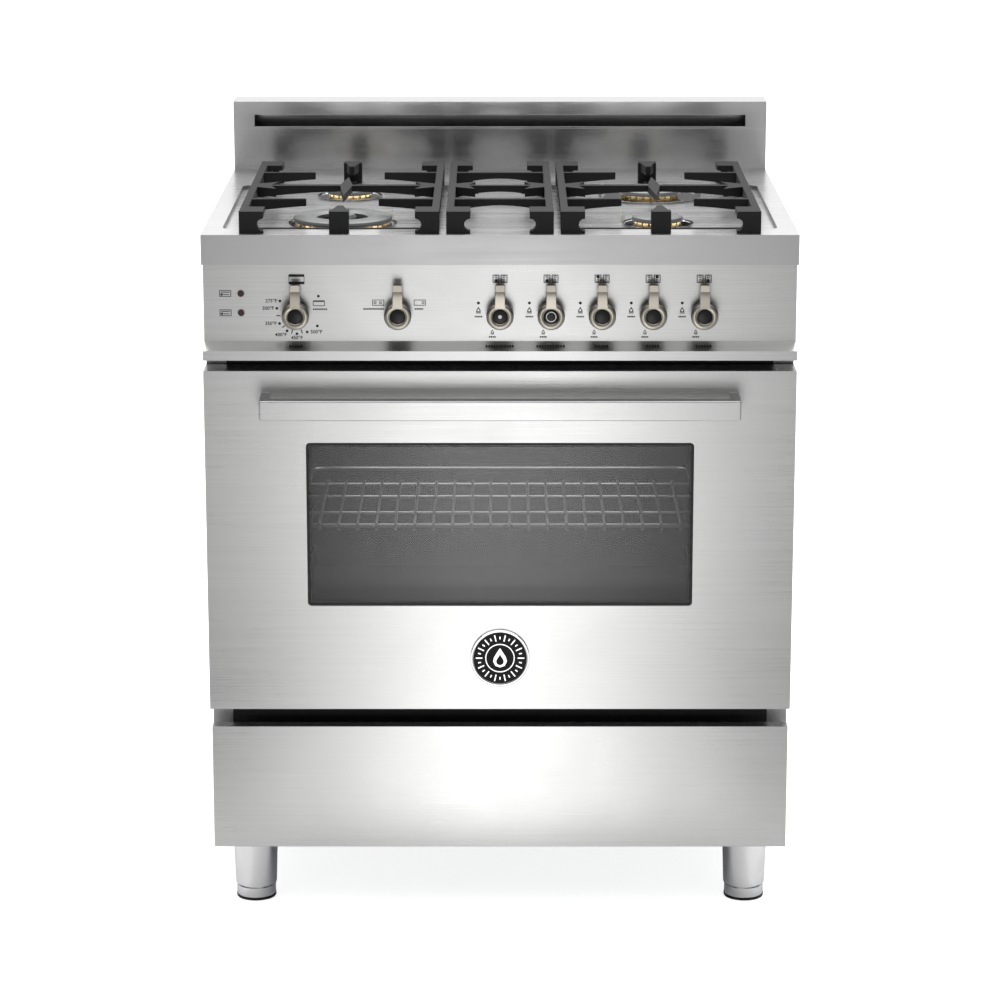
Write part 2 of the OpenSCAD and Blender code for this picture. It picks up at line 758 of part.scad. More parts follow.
module gas_valves() {
    y = valve_y + valve_d / 2;
    first_level = knob_z + 27;
    level_pitch = 9;
    elbow = tube_r + 1.2;
    oven_x = -feed_x + 2;
    oven_z = knob_z - 30;
    color("darkgoldenrod") {
        for (i = [0, 2, 3, 4, 5, 6]) valve(knob_x(i));
        for (f = FEEDS) let (b = BURNERS[f[1]], z = first_level + f[2] * level_pitch, x = b[0] + f[3] + 6)
            pipe_run([[knob_x(f[0]), y, knob_z + 17], [knob_x(f[0]), y, z], [x, y, z], [x, b[1], z],
                      [x, b[1], burner_base_z]], tube_r, elbow);
        pipe_run([[knob_x(0), y, knob_z - 17], [knob_x(0), y, oven_z], [oven_x, y, oven_z],
                  [oven_x, feed_y, oven_z], [oven_x, feed_y, tail_z], [0, feed_y, tail_z],
                  [0, tail_y, tail_z]], tube_r, elbow);
    }
}

module function_switch() {
    x = knob_x(1);
    color("lightyellow") {
        difference() {
            union() {
                block([x - 18, valve_y, knob_z - 18], [x + 18, valve_y + valve_d, knob_z + 18]);
                rod_y(x, knob_z, valve_y - bonnet_l, valve_y + eps, 10);
            }
            rod_y(x, knob_z, valve_y - bonnet_l - over, stem_back_y + 1, stem_r + run_fit);
        }
    }
}

module stem(i) {
    color("lightgray") {
        rod_y(knob_x(i), knob_z, stem_front_y, stem_back_y, stem_r);
    }
}

module stem_thermostat() { stem(0); }
module stem_wok_inner() { stem(2); }
module stem_wok_outer() { stem(3); }
module stem_rear_left() { stem(4); }
module stem_rear_right() { stem(5); }
module stem_front_right() { stem(6); }

// Ring-shaped knob with an upright lever; gas knobs turn on their stem
module knob(i) {
    tip_w = lever_w * 0.72;
    tip_l = 8;
    color("tan") translate([knob_x(i), 0, knob_z]) difference() {
        union() {
            rod_y(0, 0, knob_ring_y - eps, knob_back_y, knob_r - 1.5);
            rod_y(0, 0, knob_hub_y, knob_ring_y, knob_r);
            translate([0, knob_ring_y, 0]) rotate([90, 0, 0])
                linear_extrude(knob_ring_y - knob_hub_y) polygon([
                [-lever_w / 2, 0],
                [-lever_w / 2, lever_l - tip_l],
                [-tip_w / 2, lever_l],
                [tip_w / 2, lever_l],
                [lever_w / 2, lever_l - tip_l],
                [lever_w / 2, 0]
            ]);
        }
        rod_y(0, 0, stem_front_y - 1, knob_back_y + over, stem_r + run_fit);
    }
}

module knob_thermostat() { knob(0); }
module knob_wok_inner() { knob(2); }
module knob_wok_outer() { knob(3); }
module knob_rear_left() { knob(4); }
module knob_rear_right() { knob(5); }
module knob_front_right() { knob(6); }

// The function knob has its shaft moulded on
module knob_function() {
    knob(1);
    color("tan") rod_y(knob_x(1), knob_z, stem_front_y - 1.5, stem_back_y, stem_r);
}

// ---------- hob ----------

function cup_r(b) = b[2] - 8;

module burner_bases() {
    color("silver") for (b = BURNERS) translate([b[0], b[1], 0]) difference() {
        union() {
            translate([0, 0, pan_z]) cylinder(h = bowl_t, r = b[4]);
            translate([0, 0, pan_z + bowl_t - eps]) difference() {
                cylinder(h = bowl_rim_h, r = b[4]);
                translate([0, 0, -over]) cylinder(h = bowl_rim_h + 2 * over, r1 = b[4] - 4, r2 = b[4] - 1);
            }
            translate([0, 0, burner_base_z]) cylinder(h = pan_z - burner_base_z + eps, r = cup_r(b));
        }
        translate([0, 0, burner_base_z + 3]) cylinder(h = pan_z - burner_base_z + 4, r = cup_r(b) - 3);
    }
}

// Brass heads: a ported ring under each cap, and a small ported head inside the double ring
module ported_ring(r_out, r_in, z, h, ports) {
    difference() {
        translate([0, 0, z]) cylinder(h = h, r = r_out);
        translate([0, 0, z - over]) cylinder(h = h + 2 * over, r = r_in);
        for (i = [0 : ports - 1]) rotate([0, 0, i * 360 / ports])
            block([r_out - 5, -port_w / 2, z + h - 3.5], [r_out + 2, port_w / 2, z + h + over]);
    }
}

module burner_heads() {
    seat_z = pan_z + bowl_t;
    inner_head_r = 17;
    inner_bore_r = 10;
    color("goldenrod") for (b = BURNERS) translate([b[0], b[1], 0]) {
        ported_ring(b[2] - 3, max(b[3] + 3, cup_r(b) - 6), seat_z, hob_z - seat_z + head_h - cap_t,
                    round(b[2] * 0.56));
        if (b[3] > 0) {
            ported_ring(inner_head_r, inner_bore_r, burner_base_z + 3, hob_z - burner_base_z + 1, 14);
            translate([0, 0, burner_base_z + 3]) cylinder(h = 4, r = inner_bore_r + 1);
        }
    }
}

module burner_caps() {
    cap_z = hob_z + head_h - cap_t;
    color("dimgray") for (b = BURNERS) translate([b[0], b[1], cap_z]) {
        rotate_extrude() polygon([
            [b[3], 0],
            [b[2], 0],
            [b[2], 2.5],
            [b[2] - 1.2, 5],
            [b[2] - 4, 6.4],
            [b[2] - 9, cap_t],
            [b[3] > 0 ? b[3] + 7 : 0, cap_t],
            [b[3], b[3] > 0 ? 4 : cap_t]
        ]);
        if (b[3] > 0) translate([0, 0, 4]) cylinder(h = 4, r1 = 18, r2 = 15.5);
    }
}

module spark_electrodes() {
    color("white") for (b = BURNERS) translate([electrode_x(b), electrode_y(b), 0]) {
        translate([0, 0, pan_z - 22]) cylinder(h = 30, r = electrode_r);
        translate([0, 0, pan_z + 8 - eps]) cylinder(h = 5, r = 1);
    }
}

// ---------- pan supports ----------

leg_d = 42;
finger_l = 52;
leg_w = 30.6;
notch_r = 8;
arch_rise = 8;
side_h = 14;

// Cast corner: a block with a hollow cut on its inner side and a foot pad below it
module grate_corner(x_out, inward, y0, y1) {
    x0 = min(x_out, x_out + inward * leg_w);
    difference() {
        block([x0, y0, hob_z], [x0 + leg_w, y1, grate_z]);
        rod_y(x_out + inward * leg_w, hob_z + 3 + notch_r, y0 - over, y1 + over, notch_r);
        block([x_out + (inward > 0 ? leg_w / 2 : -leg_w - over), y0 + bar_w + 4, hob_z - over],
              [x_out + (inward > 0 ? leg_w + over : -leg_w / 2), y1 + over, grate_z - side_h / 2]);
    }
}

// Swallow-tailed gusset where the middle bar meets a side rail
module tail_gusset(x_rail, inward, y) {
    translate([x_rail, y, grate_z - 11]) mirror([inward > 0 ? 0 : 1, 0, 0]) linear_extrude(11) polygon([
        [0, -15], [26, -32], [18, -bar_w / 2], [30, -bar_w / 2],
        [30, bar_w / 2], [18, bar_w / 2], [26, 32], [0, 15]
    ]);
}

// Finger from a side rail towards a burner, thinner in plan at its tip
module side_finger(x_rail, x_tip, y) {
    tip = 5;
    translate([0, y, grate_z - 16]) linear_extrude(16) polygon([
        [x_rail, -bar_w / 2], [x_tip, -tip / 2], [x_tip, tip / 2], [x_rail, bar_w / 2]
    ]);
}

// The hollow under the bars that run across: a shallow arch between x0 and x1
module under_arch(x0, x1, y0, y1) {
    half = (x1 - x0) / 2;
    r = (half * half + arch_rise * arch_rise) / (2 * arch_rise);
    translate([(x0 + x1) / 2, y0, grate_z - 16 + arch_rise - r]) rotate([-90, 0, 0])
        cylinder(h = y1 - y0, r = r, $fn = 180);
}

// One side pan support, drawn for the left; cx is its centre, and two burners lie under it
module side_grate(cx, x0, x1) {
    y0 = front_y + grate_front;
    y1 = front_y + grate_rear;
    y_front = front_y + burner_front;
    y_rear = front_y + burner_rear;
    y_mid = (y_front + y_rear) / 2;
    reach = 47;
    centre_block = 25;
    block_d = 18;
    finger_h = 12;
    low_rail = 6;
    low_h = 3;
    low_z = pan_z + bowl_t + bowl_rim_h + 1;
    color([0.12, 0.12, 0.12]) {
        for (x = [x0, x1 - bar_w]) block([x, y0, grate_z - side_h], [x + bar_w, y1, grate_z]);
        for (c = [[x0, 1], [x1, -1]]) {
            grate_corner(c[0], c[1], y0, y0 + leg_d);
            translate([0, y0 + y1, 0]) mirror([0, 1, 0]) grate_corner(c[0], c[1], y0, y0 + leg_d);
        }
        difference() {
            union() {
                for (y = [y_front, y_rear]) {
                    side_finger(x0 + bar_w / 2, cx - reach, y);
                    side_finger(x1 - bar_w / 2, cx + reach, y);
                }
                block([x0 + bar_w / 2, y_mid - bar_w / 2, grate_z - 16],
                      [x1 - bar_w / 2, y_mid + bar_w / 2, grate_z]);
            }
            under_arch(x0 + bar_w, x1 - bar_w, y0, y1);
        }
        tail_gusset(x0 + bar_w - eps, 1, y_mid);
        tail_gusset(x1 - bar_w + eps, -1, y_mid);
        translate([cx, y_mid, grate_z - 9]) linear_extrude(9)
            polygon([[0, -92], [8.5, 0], [0, 76], [-8.5, 0]]);
        for (end = [[y0, 1], [y1, -1]]) {
            yb = end[0];
            s = end[1];
            translate([0, yb, 0]) mirror([0, s > 0 ? 0 : 1, 0]) {
                block([cx - centre_block / 2, 0, hob_z], [cx + centre_block / 2, block_d, grate_z]);
                translate([cx, block_d - eps, grate_z - finger_h]) linear_extrude(finger_h)
                    polygon([[-9, 0], [-3.5, finger_l - block_d], [3.5, finger_l - block_d], [9, 0]]);
                block([cx - 5, block_d - eps, hob_z + 1], [cx + 5, leg_d, hob_z + 4]);
                block([cx - 5, leg_d - low_rail, low_z], [cx + 5, leg_d, hob_z + 4]);
                block([x0 + 2, leg_d - low_rail, low_z], [x1 - 2, leg_d, low_z + low_h]);
                for (x = [x0 + 2, x1 - 2 - bar_w / 2])
                    block([x, leg_d - low_rail, low_z], [x + bar_w / 2, leg_d, grate_z - side_h + 1]);
            }
        }
    }
}

module grate_left() {
    side_grate(-burner_x, -grates_w / 2, -centre_w / 2 - grate_gap);
}

module grate_right() {
    mirror([1, 0, 0]) side_grate(-burner_x, -grates_w / 2, -centre_w / 2 - grate_gap);
}

module grate_centre() {
    y0 = front_y + grate_front;
    y1 = front_y + grate_rear;
    x1 = centre_w / 2;
    y_front = front_y + burner_front;
    y_rear = front_y + burner_rear;
    y_mid = (y_front + y_rear) / 2;
    color([0.12, 0.12, 0.12]) {
        both_sides() {
            block([x1 - bar_w, y0, grate_z - side_h], [x1, y1, grate_z]);
            grate_corner(x1, -1, y0, y0 + leg_d);
            translate([0, y0 + y1, 0]) mirror([0, 1, 0]) grate_corner(x1, -1, y0, y0 + leg_d);
            tail_gusset(x1 - bar_w + eps, -1, y_mid);
        }
        difference() {
            for (y = [y_front, y_mid, y_rear])
                block([-x1 + 1, y - bar_w / 2, grate_z - 16], [x1 - 1, y + bar_w / 2, grate_z]);
            under_arch(-x1 + bar_w, x1 - bar_w, y0, y1);
        }
    }
}

// ---------- door ----------

module door_skin() {
    shell_back = door_back_y - sheet_t;
    slot = ear_gap / 2 + 2;
    color("silver") difference() {
        block([-half_w, front_y, door_z], [half_w, shell_back, door_top_z]);
        block([-half_w + sheet_t, front_y + sheet_t, door_z + sheet_t],
              [half_w - sheet_t, shell_back + over, door_top_z - sheet_t]);
        round_plate(window_w, window_h, window_r, window_z, front_y - over, front_y + sheet_t + over);
        both_sides() block([hinge_x - slot, pivot_y - tongue_r - 2, door_z - over],
                           [hinge_x + slot, shell_back + over, door_z + 2 * sheet_t]);
    }
}

module door_inner_panel() {
    slot = ear_gap / 2 + 2;
    color("gray") difference() {
        block([-half_w, door_back_y - sheet_t, door_z], [half_w, door_back_y, door_top_z]);
        round_plate(window_w + 2 * inner_open, window_h + 2 * inner_open, window_r,
                    window_z - inner_open, door_back_y - 2 * sheet_t, door_back_y + over);
        both_sides() block([hinge_x - slot, door_back_y - 2 * sheet_t, door_z - over],
                           [hinge_x + slot, door_back_y + over, pivot_z + tongue_r + 2]);
    }
}

module door_glass() {
    inner_back = door_back_y - sheet_t;
    color([0.3, 0.35, 0.4, 0.5]) {
        round_plate(2 * pane_half_w, window_h + 2 * pane_margin, window_r, window_z - pane_margin,
                    front_y + sheet_t, front_y + sheet_t + pane_t);
        round_plate(2 * pane_half_w, window_h + 2 * pane_margin, window_r, window_z - pane_margin,
                    inner_back - pane_t, inner_back);
    }
}

module door_handle() {
    edge_r = 2.5;
    wall = 2;
    end_t = 4;
    bar_y = front_y - handle_reach();
    color("silver") translate([-handle_w / 2, bar_y + handle_d / 2, handle_z + handle_h / 2])
        rotate([90, 0, 90]) difference() {
            linear_extrude(handle_w) round_rect(handle_d, handle_h, edge_r);
            translate([0, 0, end_t]) linear_extrude(handle_w - 2 * end_t)
                square([handle_d - 2 * wall, handle_h - 2 * wall], center = true);
        }
}

module handle_brackets() {
    color("silver") both_sides() block([handle_w / 2 - bracket_w, front_y - handle_standoff, handle_z],
                                       [handle_w / 2, front_y, handle_z + handle_h]);
}

module door_badge() {
    groove_r = badge_r * 0.37;
    color("black") difference() {
        rod_y(0, badge_z, front_y - badge_t, front_y, badge_r);
        difference() {
            rod_y(0, badge_z, front_y - badge_t - over, front_y - badge_t + 0.5, badge_r - 3.5);
            rod_y(0, badge_z, front_y - badge_t - 2 * over, front_y, groove_r);
        }
    }
}

// Two ears and a web inside the door at each hinge, with the pin that turns in the tongue
module hinge_brackets() {
    ear_x = ear_gap / 2;
    ear_front = front_y + sheet_t;
    ear_back = door_back_y - sheet_t;
    ear_top = pivot_z + 44;
    color("dimgray") both_sides() {
        for (side = [-ear_x - ear_t, ear_x])
            block([hinge_x + side, ear_front, door_z + sheet_t],
                  [hinge_x + side + ear_t, ear_back, ear_top]);
        block([hinge_x - ear_x - eps, ear_front, ear_top - 16], [hinge_x + ear_x + eps, ear_back, ear_top]);
        rod_x(pivot_y, pivot_z, hinge_x - ear_x - ear_t + eps, hinge_x + ear_x + ear_t - eps, hinge_pin_r);
    }
}

// ---------- drawer ----------

drawer_y = front_y + drawer_recess;
drawer_back_y = drawer_y + drawer_t;
drawer_half_w = half_w - 2;
box_half_w = half_w - 50;
box_z = floor_z + 12;
box_top_z = drawer_top_z - 23;
rail_z = (box_z + box_top_z) / 2;
rail_w = 9;

module drawer_front() {
    color("silver") difference() {
        block([-drawer_half_w, drawer_y, leg_h], [drawer_half_w, drawer_back_y, drawer_top_z]);
        block([-drawer_half_w + sheet_t, drawer_y + sheet_t, leg_h + sheet_t],
              [drawer_half_w - sheet_t, drawer_back_y - sheet_t, drawer_top_z - sheet_t]);
    }
}

module drawer_box() {
    color("gray") {
        difference() {
            block([-box_half_w, drawer_back_y, box_z],
                  [box_half_w, drawer_back_y + drawer_box_d, box_top_z]);
            block([-box_half_w + sheet_t, drawer_back_y + sheet_t, box_z + sheet_t],
                  [box_half_w - sheet_t, drawer_back_y + drawer_box_d - sheet_t, box_top_z + over]);
        }
        both_sides() block([box_half_w - eps, drawer_back_y + 60, rail_z - 2],
                           [box_half_w + rail_w, drawer_back_y + drawer_box_d, rail_z + 2]);
    }
}

// C-shaped runners on the base tray that guide the drawer's side rails
module drawer_runners() {
    inside = box_half_w + slip_gap + 1;
    outside = box_half_w + rail_w + slip_gap;
    run_y0 = liner_y + 4;
    run_y1 = drawer_back_y + drawer_box_d + 20;
    wall = 2;
    color("lightgray") both_sides() {
        block([outside, run_y0, floor_z], [outside + wall, run_y1, rail_z + 2 + slip_gap + wall]);
        for (z = [rail_z - 2 - slip_gap - wall, rail_z + 2 + slip_gap])
            block([inside, run_y0, z], [outside + eps, run_y1, z + wall]);
    }
}

// ---------- oven rack ----------

module oven_rack() {
    corner_r = 16;
    x = rack_rail_x;
    y0 = rack_front_y;
    y1 = rack_rear_y;
    rails = [0.21, 0.486, 0.707] * (y1 - y0);
    fine_z = rack_z + rack_wire_r + rack_fine_r - 1;
    hook_h = 9;
    color("lightgray") {
        rod([-x, y0, rack_z], [x, y0, rack_z], rack_wire_r);
        both_sides() {
            rod([x, y0, rack_z], [x, y1 - corner_r, rack_z], rack_wire_r);
            translate([x - corner_r, y1 - corner_r, rack_z]) rotate_extrude(angle = 90)
                translate([corner_r, 0]) circle(r = rack_wire_r);
            translate([x, y0, rack_z]) sphere(r = rack_wire_r + 0.6);
        }
        rod([-x + corner_r, y1, rack_z], [x - corner_r, y1, rack_z], rack_wire_r);
        for (d = rails) rod([-x, y0 + d, rack_z], [x, y0 + d, rack_z], rack_fine_r + 0.2);
        for (k = [-10 : 9]) let (wx = (k + 0.5) * rack_pitch) {
            rod([wx, y0 - 3.4, fine_z], [wx, y0 + rails[2] + 2, fine_z], rack_fine_r - 0.2);
            translate([wx, y0 - 3.4, fine_z]) sphere(r = rack_fine_r);
            rod([wx, y0 - 3.4, fine_z - hook_h], [wx, y0 - 3.4, fine_z], rack_fine_r - 0.2);
        }
    }
}

// ---------- legs ----------

function leg_x(leg) = leg[0] * (half_w - leg_inset_x);
function leg_y(leg) = leg[1] < 0 ? front_y + leg_inset_y : rear_y - leg_inset_y;

module leg_sleeves() {
    color("silver") for (leg = LEGS) translate([leg_x(leg), leg_y(leg), 0]) difference() {
        translate([0, 0, foot_h]) cylinder(h = leg_h - foot_h, r1 = sleeve_end_r, r2 = leg_r);
        translate([0, 0, foot_h - over]) cylinder(h = leg_h - foot_h + 2 * over, r = spindle_r + run_fit);
    }
}

module foot(i) {
    neck_h = 3;
    color("silver") translate([leg_x(LEGS[i]), leg_y(LEGS[i]), 0]) {
        cylinder(h = foot_h - neck_h, r = foot_r);
        translate([0, 0, foot_h - neck_h - eps]) cylinder(h = neck_h - seat_gap, r = foot_r - 2);
        cylinder(h = foot_h + spindle_l, r = spindle_r);
    }
}

module foot_front_left() { foot(0); }
module foot_front_right() { foot(1); }
module foot_rear_left() { foot(2); }
module foot_rear_right() { foot(3); }

base_tray();
side_panel_left();
side_panel_right();
rear_cover();
cooktop();
control_panel();
backguard();
oven_liner();
oven_insulation();
oven_front_frame();
door_gasket();
rack_guides();
oven_burners();
oven_floor_plate();
fan_cover();
fan_motor();
oven_lamp();
gas_manifold();
gas_valves();
function_switch();
burner_bases();
burner_heads();
burner_caps();
spark_electrodes();
indicator_lamps();
leg_sleeves();
hinge_receivers();
drawer_runners();
cover_screws();
door_skin();
door_inner_panel();
door_glass();
door_handle();
handle_brackets();
door_badge();
hinge_brackets();
drawer_front();
drawer_box();
grate_left();
grate_centre();
grate_right();
oven_rack();
fan_blade();
foot_front_left();
foot_front_right();
foot_rear_left();
foot_rear_right();
stem_thermostat();
stem_wok_inner();
stem_wok_outer();
stem_rear_left();
stem_rear_right();
stem_front_right();
knob_thermostat();
knob_function();
knob_wok_inner();
knob_wok_outer();
knob_rear_left();
knob_rear_right();
knob_front_right();
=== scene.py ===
"""Looks of a freestanding gas range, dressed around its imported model.

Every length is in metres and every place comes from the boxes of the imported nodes.
"""

import logging
import math
from dataclasses import dataclass, field
from enum import Enum

import bmesh
import bpy
from mathutils import Matrix, Vector


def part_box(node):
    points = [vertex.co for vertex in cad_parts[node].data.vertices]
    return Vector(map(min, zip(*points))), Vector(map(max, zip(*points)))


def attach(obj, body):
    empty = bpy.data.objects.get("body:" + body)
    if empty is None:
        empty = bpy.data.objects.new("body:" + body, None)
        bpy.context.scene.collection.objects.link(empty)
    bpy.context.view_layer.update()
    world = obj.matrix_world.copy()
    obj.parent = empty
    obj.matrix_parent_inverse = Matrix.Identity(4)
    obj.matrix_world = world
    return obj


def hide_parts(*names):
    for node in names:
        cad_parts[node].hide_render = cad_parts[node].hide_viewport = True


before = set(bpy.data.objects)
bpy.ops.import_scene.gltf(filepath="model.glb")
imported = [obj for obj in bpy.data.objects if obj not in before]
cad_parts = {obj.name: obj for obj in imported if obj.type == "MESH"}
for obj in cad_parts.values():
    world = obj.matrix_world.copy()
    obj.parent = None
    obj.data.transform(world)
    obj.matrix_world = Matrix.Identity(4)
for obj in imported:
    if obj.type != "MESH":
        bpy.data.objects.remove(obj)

LOG = logging.getLogger("range")
MERGE_GAP = 1e-6  # points closer than this become one
FONT_SIZE = 1.4  # size of the font for numerals of height 1
FONT_WEIGHT = 0.035  # how far their outlines are swollen

Point2 = tuple[float, float]
Point3 = tuple[float, float, float]
Colour = tuple[float, float, float]


class Grain(Enum):
    """The way the fine lines of brushed metal run; the value is the noise scale along X, Y and Z."""

    ACROSS = (5.0, 900.0, 900.0)
    UPRIGHT = (900.0, 900.0, 5.0)


class Burner(Enum):
    """The burner that a knob serves: its column and row in the small plan of the hob."""

    FRONT_LEFT = (-1, -1)
    REAR_LEFT = (-1, 1)
    REAR_RIGHT = (1, 1)
    FRONT_RIGHT = (1, -1)


class CapMark(Enum):
    """What is printed on the cap in the middle of a knob."""

    NONE = 0
    DOT = 1
    RING = 2


# ---------- materials ----------


class NodeSketch:
    """The nodes of one material, added from left to right around its Principled shader."""

    def __init__(self, name: str) -> None:
        """Starts an empty material.

        Args:
            name: the material's name.
        """
        self.material = bpy.data.materials.new(name)
        self.material.use_nodes = True
        self.tree = self.material.node_tree
        self.shader = self.tree.nodes["Principled BSDF"]
        self.place = self.add("ShaderNodeTexCoord").outputs["Object"]

    def add(self, kind: str) -> bpy.types.Node:
        """Adds a node of that kind and returns it."""
        return self.tree.nodes.new(kind)

    def join(self, source: bpy.types.NodeSocket, target: bpy.types.NodeSocket) -> None:
        """Links one socket to another."""
        self.tree.links.new(source, target)

    def set(self, **values: float | tuple[float, ...]) -> None:
        """Sets the shader's own sockets; an underscore in a name stands for a space."""
        for name, value in values.items():
            self.shader.inputs[name.replace("_", " ")].default_value = value

    def noise(self, stretch: tuple[float, float, float], detail: float = 3.0, roughness: float = 0.55,
              warp: float = 0.0) -> bpy.types.NodeSocket:
        """Adds noise over the object's own coordinates.

        Args:
            stretch: noise cells per metre along X, Y and Z.
            detail: octaves of the noise.
            roughness: weight of the finer octaves.
            warp: distortion of the noise.

        Returns:
            The socket with the noise, from 0 to 1.
        """
        mapping = self.add("ShaderNodeMapping")
        mapping.inputs["Scale"].default_value = stretch
        self.join(self.place, mapping.inputs["Vector"])
        noise = self.add("ShaderNodeTexNoise")
        noise.inputs["Scale"].default_value = 1.0
        noise.inputs["Detail"].default_value = detail
        noise.inputs["Roughness"].default_value = roughness
        noise.inputs["Distortion"].default_value = warp
        self.join(mapping.outputs["Vector"], noise.inputs["Vector"])
        return noise.outputs["Fac"]

    def span(self, source: bpy.types.NodeSocket, low: float, high: float,
             cut: tuple[float, float] = (0.3, 0.7)) -> bpy.types.NodeSocket:
        """Stretches a noise between two values.

        Args:
            source: the noise.
            low: the value where the noise is at or under the first cut.
            high: the value where it is at or over the second cut.
            cut: the part of the noise that is used.

        Returns:
            The socket with the stretched value.
        """
        node = self.add("ShaderNodeMapRange")
        node.inputs["From Min"].default_value = cut[0]
        node.inputs["From Max"].default_value = cut[1]
        node.inputs["To Min"].default_value = low
        node.inputs["To Max"].default_value = high
        self.join(source, node.inputs["Value"])
        return node.outputs["Result"]

    def tint(self, source: bpy.types.NodeSocket, dark: Colour, light: Colour,
             cut: tuple[float, float] = (0.3, 0.7)) -> None:
        """Runs the base colour between two colours by a noise.

        Args:
            source: the noise.
            dark: the colour at and under the first cut.
            light: the colour at and over the second cut.
            cut: the part of the noise that is used.
        """
        ramp = self.add("ShaderNodeValToRGB")
        ramp.color_ramp.elements[0].position = cut[0]
        ramp.color_ramp.elements[0].color = (*dark, 1.0)
        ramp.color_ramp.elements[1].position = cut[1]
        ramp.color_ramp.elements[1].color = (*light, 1.0)
        self.join(source, ramp.inputs["Fac"])
        self.join(ramp.outputs["Color"], self.shader.inputs["Base Color"])

    def upright(self, extra: float, shade: float) -> None:
        """Makes upright faces rougher than level ones, and paints shade on them by darkening their colour.

        Args:
            extra: roughness that an upright face has on top.
            shade: factor on the colour of an upright face; this darkening is painted shade.
        """
        split = self.add("ShaderNodeSeparateXYZ")
        self.join(self.add("ShaderNodeTexCoord").outputs["Normal"], split.inputs["Vector"])
        size = self.add("ShaderNodeMath")
        size.operation = "ABSOLUTE"
        self.join(split.outputs["Z"], size.inputs[0])
        total = self.add("ShaderNodeMath")
        total.operation = "ADD"
        self.join(self.shader.inputs["Roughness"].links[0].from_socket, total.inputs[0])
        self.join(self.span(size.outputs["Value"], extra, 0.0), total.inputs[1])
        self.rough(total.outputs["Value"])
        # painted shade: the colour of upright faces is scaled down
        scale = self.add("ShaderNodeVectorMath")
        scale.operation = "SCALE"
        self.join(self.shader.inputs["Base Color"].links[0].from_socket, scale.inputs[0])
        self.join(self.span(size.outputs["Value"], shade, 1.0), scale.inputs["Scale"])
        self.join(scale.outputs["Vector"], self.shader.inputs["Base Color"])

    def rough(self, source: bpy.types.NodeSocket) -> None:
        """Drives the roughness by a socket."""
        self.join(source, self.shader.inputs["Roughness"])

    def relief(self, height: bpy.types.NodeSocket, strength: float, depth: float,
               edge_r: float = 0.0) -> None:
        """Adds fine relief, over edges that the light sees as rounded.

        Args:
            height: the noise that is the height.
            strength: strength of the relief.
            depth: depth of the relief in metres.
            edge_r: radius in metres of the worn edges, or 0 for sharp ones.
        """
        bump = self.add("ShaderNodeBump")
        bump.inputs["Strength"].default_value = strength
        bump.inputs["Distance"].default_value = depth
        self.join(height, bump.inputs["Height"])
        if edge_r > 0:
            bevel = self.add("ShaderNodeBevel")
            bevel.samples = 4
            bevel.inputs["Radius"].default_value = edge_r
            self.join(bevel.outputs["Normal"], bump.inputs["Normal"])
        self.join(bump.outputs["Normal"], self.shader.inputs["Normal"])


def scaled(colour: Colour, factor: float) -> Colour:
    """Returns the colour made lighter or darker by a factor."""
    return tuple(min(1.0, c * factor) for c in colour)


@dataclass(frozen=True)
class Finish:
    """What every finish has: a name, and the name of a material slot that it stands for, which nothing here
    reads.
    """

    name: str
    slot: str

    def make(self) -> bpy.types.Material:
        """Makes the material, unless it is made already.

        Returns:
            The material.
        """
        found = bpy.data.materials.get(self.name)
        if found:
            return found
        sketch = NodeSketch(self.name)
        self.paint(sketch)
        return sketch.material

    def paint(self, sketch: NodeSketch) -> None:
        """Adds this finish's nodes to the sketch."""
        raise NotImplementedError


@dataclass(frozen=True)
class BrushedMetal(Finish):
    """Sheet metal with fine lines one way, faint hand smudges and worn edges."""

    colour: Colour
    rough: float
    grain: Grain = Grain.ACROSS
    contrast: float = 0.05
    relief: float = 0.05
    upright_rough: float = 0.0
    upright_painted_shade: float = 1.0

    def paint(self, sketch: NodeSketch) -> None:
        """Lays the lines into colour, roughness and relief, and the smudges into roughness.

        Args:
            sketch: the sketch of the material.
        """
        lines = sketch.noise(self.grain.value, detail=4.0, roughness=0.65)
        smudge = sketch.noise((7.0, 7.0, 7.0), detail=3.0, warp=0.6)
        sketch.set(Metallic=1.0)
        sketch.tint(lines, scaled(self.colour, 1 - self.contrast), scaled(self.colour, 1 + self.contrast))
        both = sketch.add("ShaderNodeMath")
        both.operation = "ADD"
        sketch.join(sketch.span(lines, self.rough - 0.04, self.rough + 0.04), both.inputs[0])
        sketch.join(sketch.span(smudge, -0.015, 0.025), both.inputs[1])
        sketch.rough(both.outputs["Value"])
        # upright faces get more roughness, and painted shade darkens their colour
        if self.upright_rough > 0:
            sketch.upright(self.upright_rough - self.rough, self.upright_painted_shade)
        sketch.relief(lines, self.relief, 0.0002, edge_r=0.0008)


@dataclass(frozen=True)
class ClearMetal(Finish):
    """Plated, cast or turned metal: smooth, with soft cloudy wear."""

    colour: Colour
    rough: float
    grain_size: float = 90.0
    relief: float = 0.03
    wear: float = 0.05

    def paint(self, sketch: NodeSketch) -> None:
        """Lays cloudy wear into colour and roughness, and a fine skin into the relief.

        Args:
            sketch: the sketch of the material.
        """
        cloud = sketch.noise((self.grain_size / 4,) * 3, detail=4.0, warp=0.4)
        skin = sketch.noise((self.grain_size * 8,) * 3, detail=3.0)
        sketch.set(Metallic=1.0)
        sketch.tint(cloud, scaled(self.colour, 1 - self.wear), scaled(self.colour, 1 + self.wear))
        sketch.rough(sketch.span(cloud, max(0.01, self.rough - 0.03), self.rough + 0.04))
        sketch.relief(skin, self.relief, 0.0002, edge_r=0.0006)


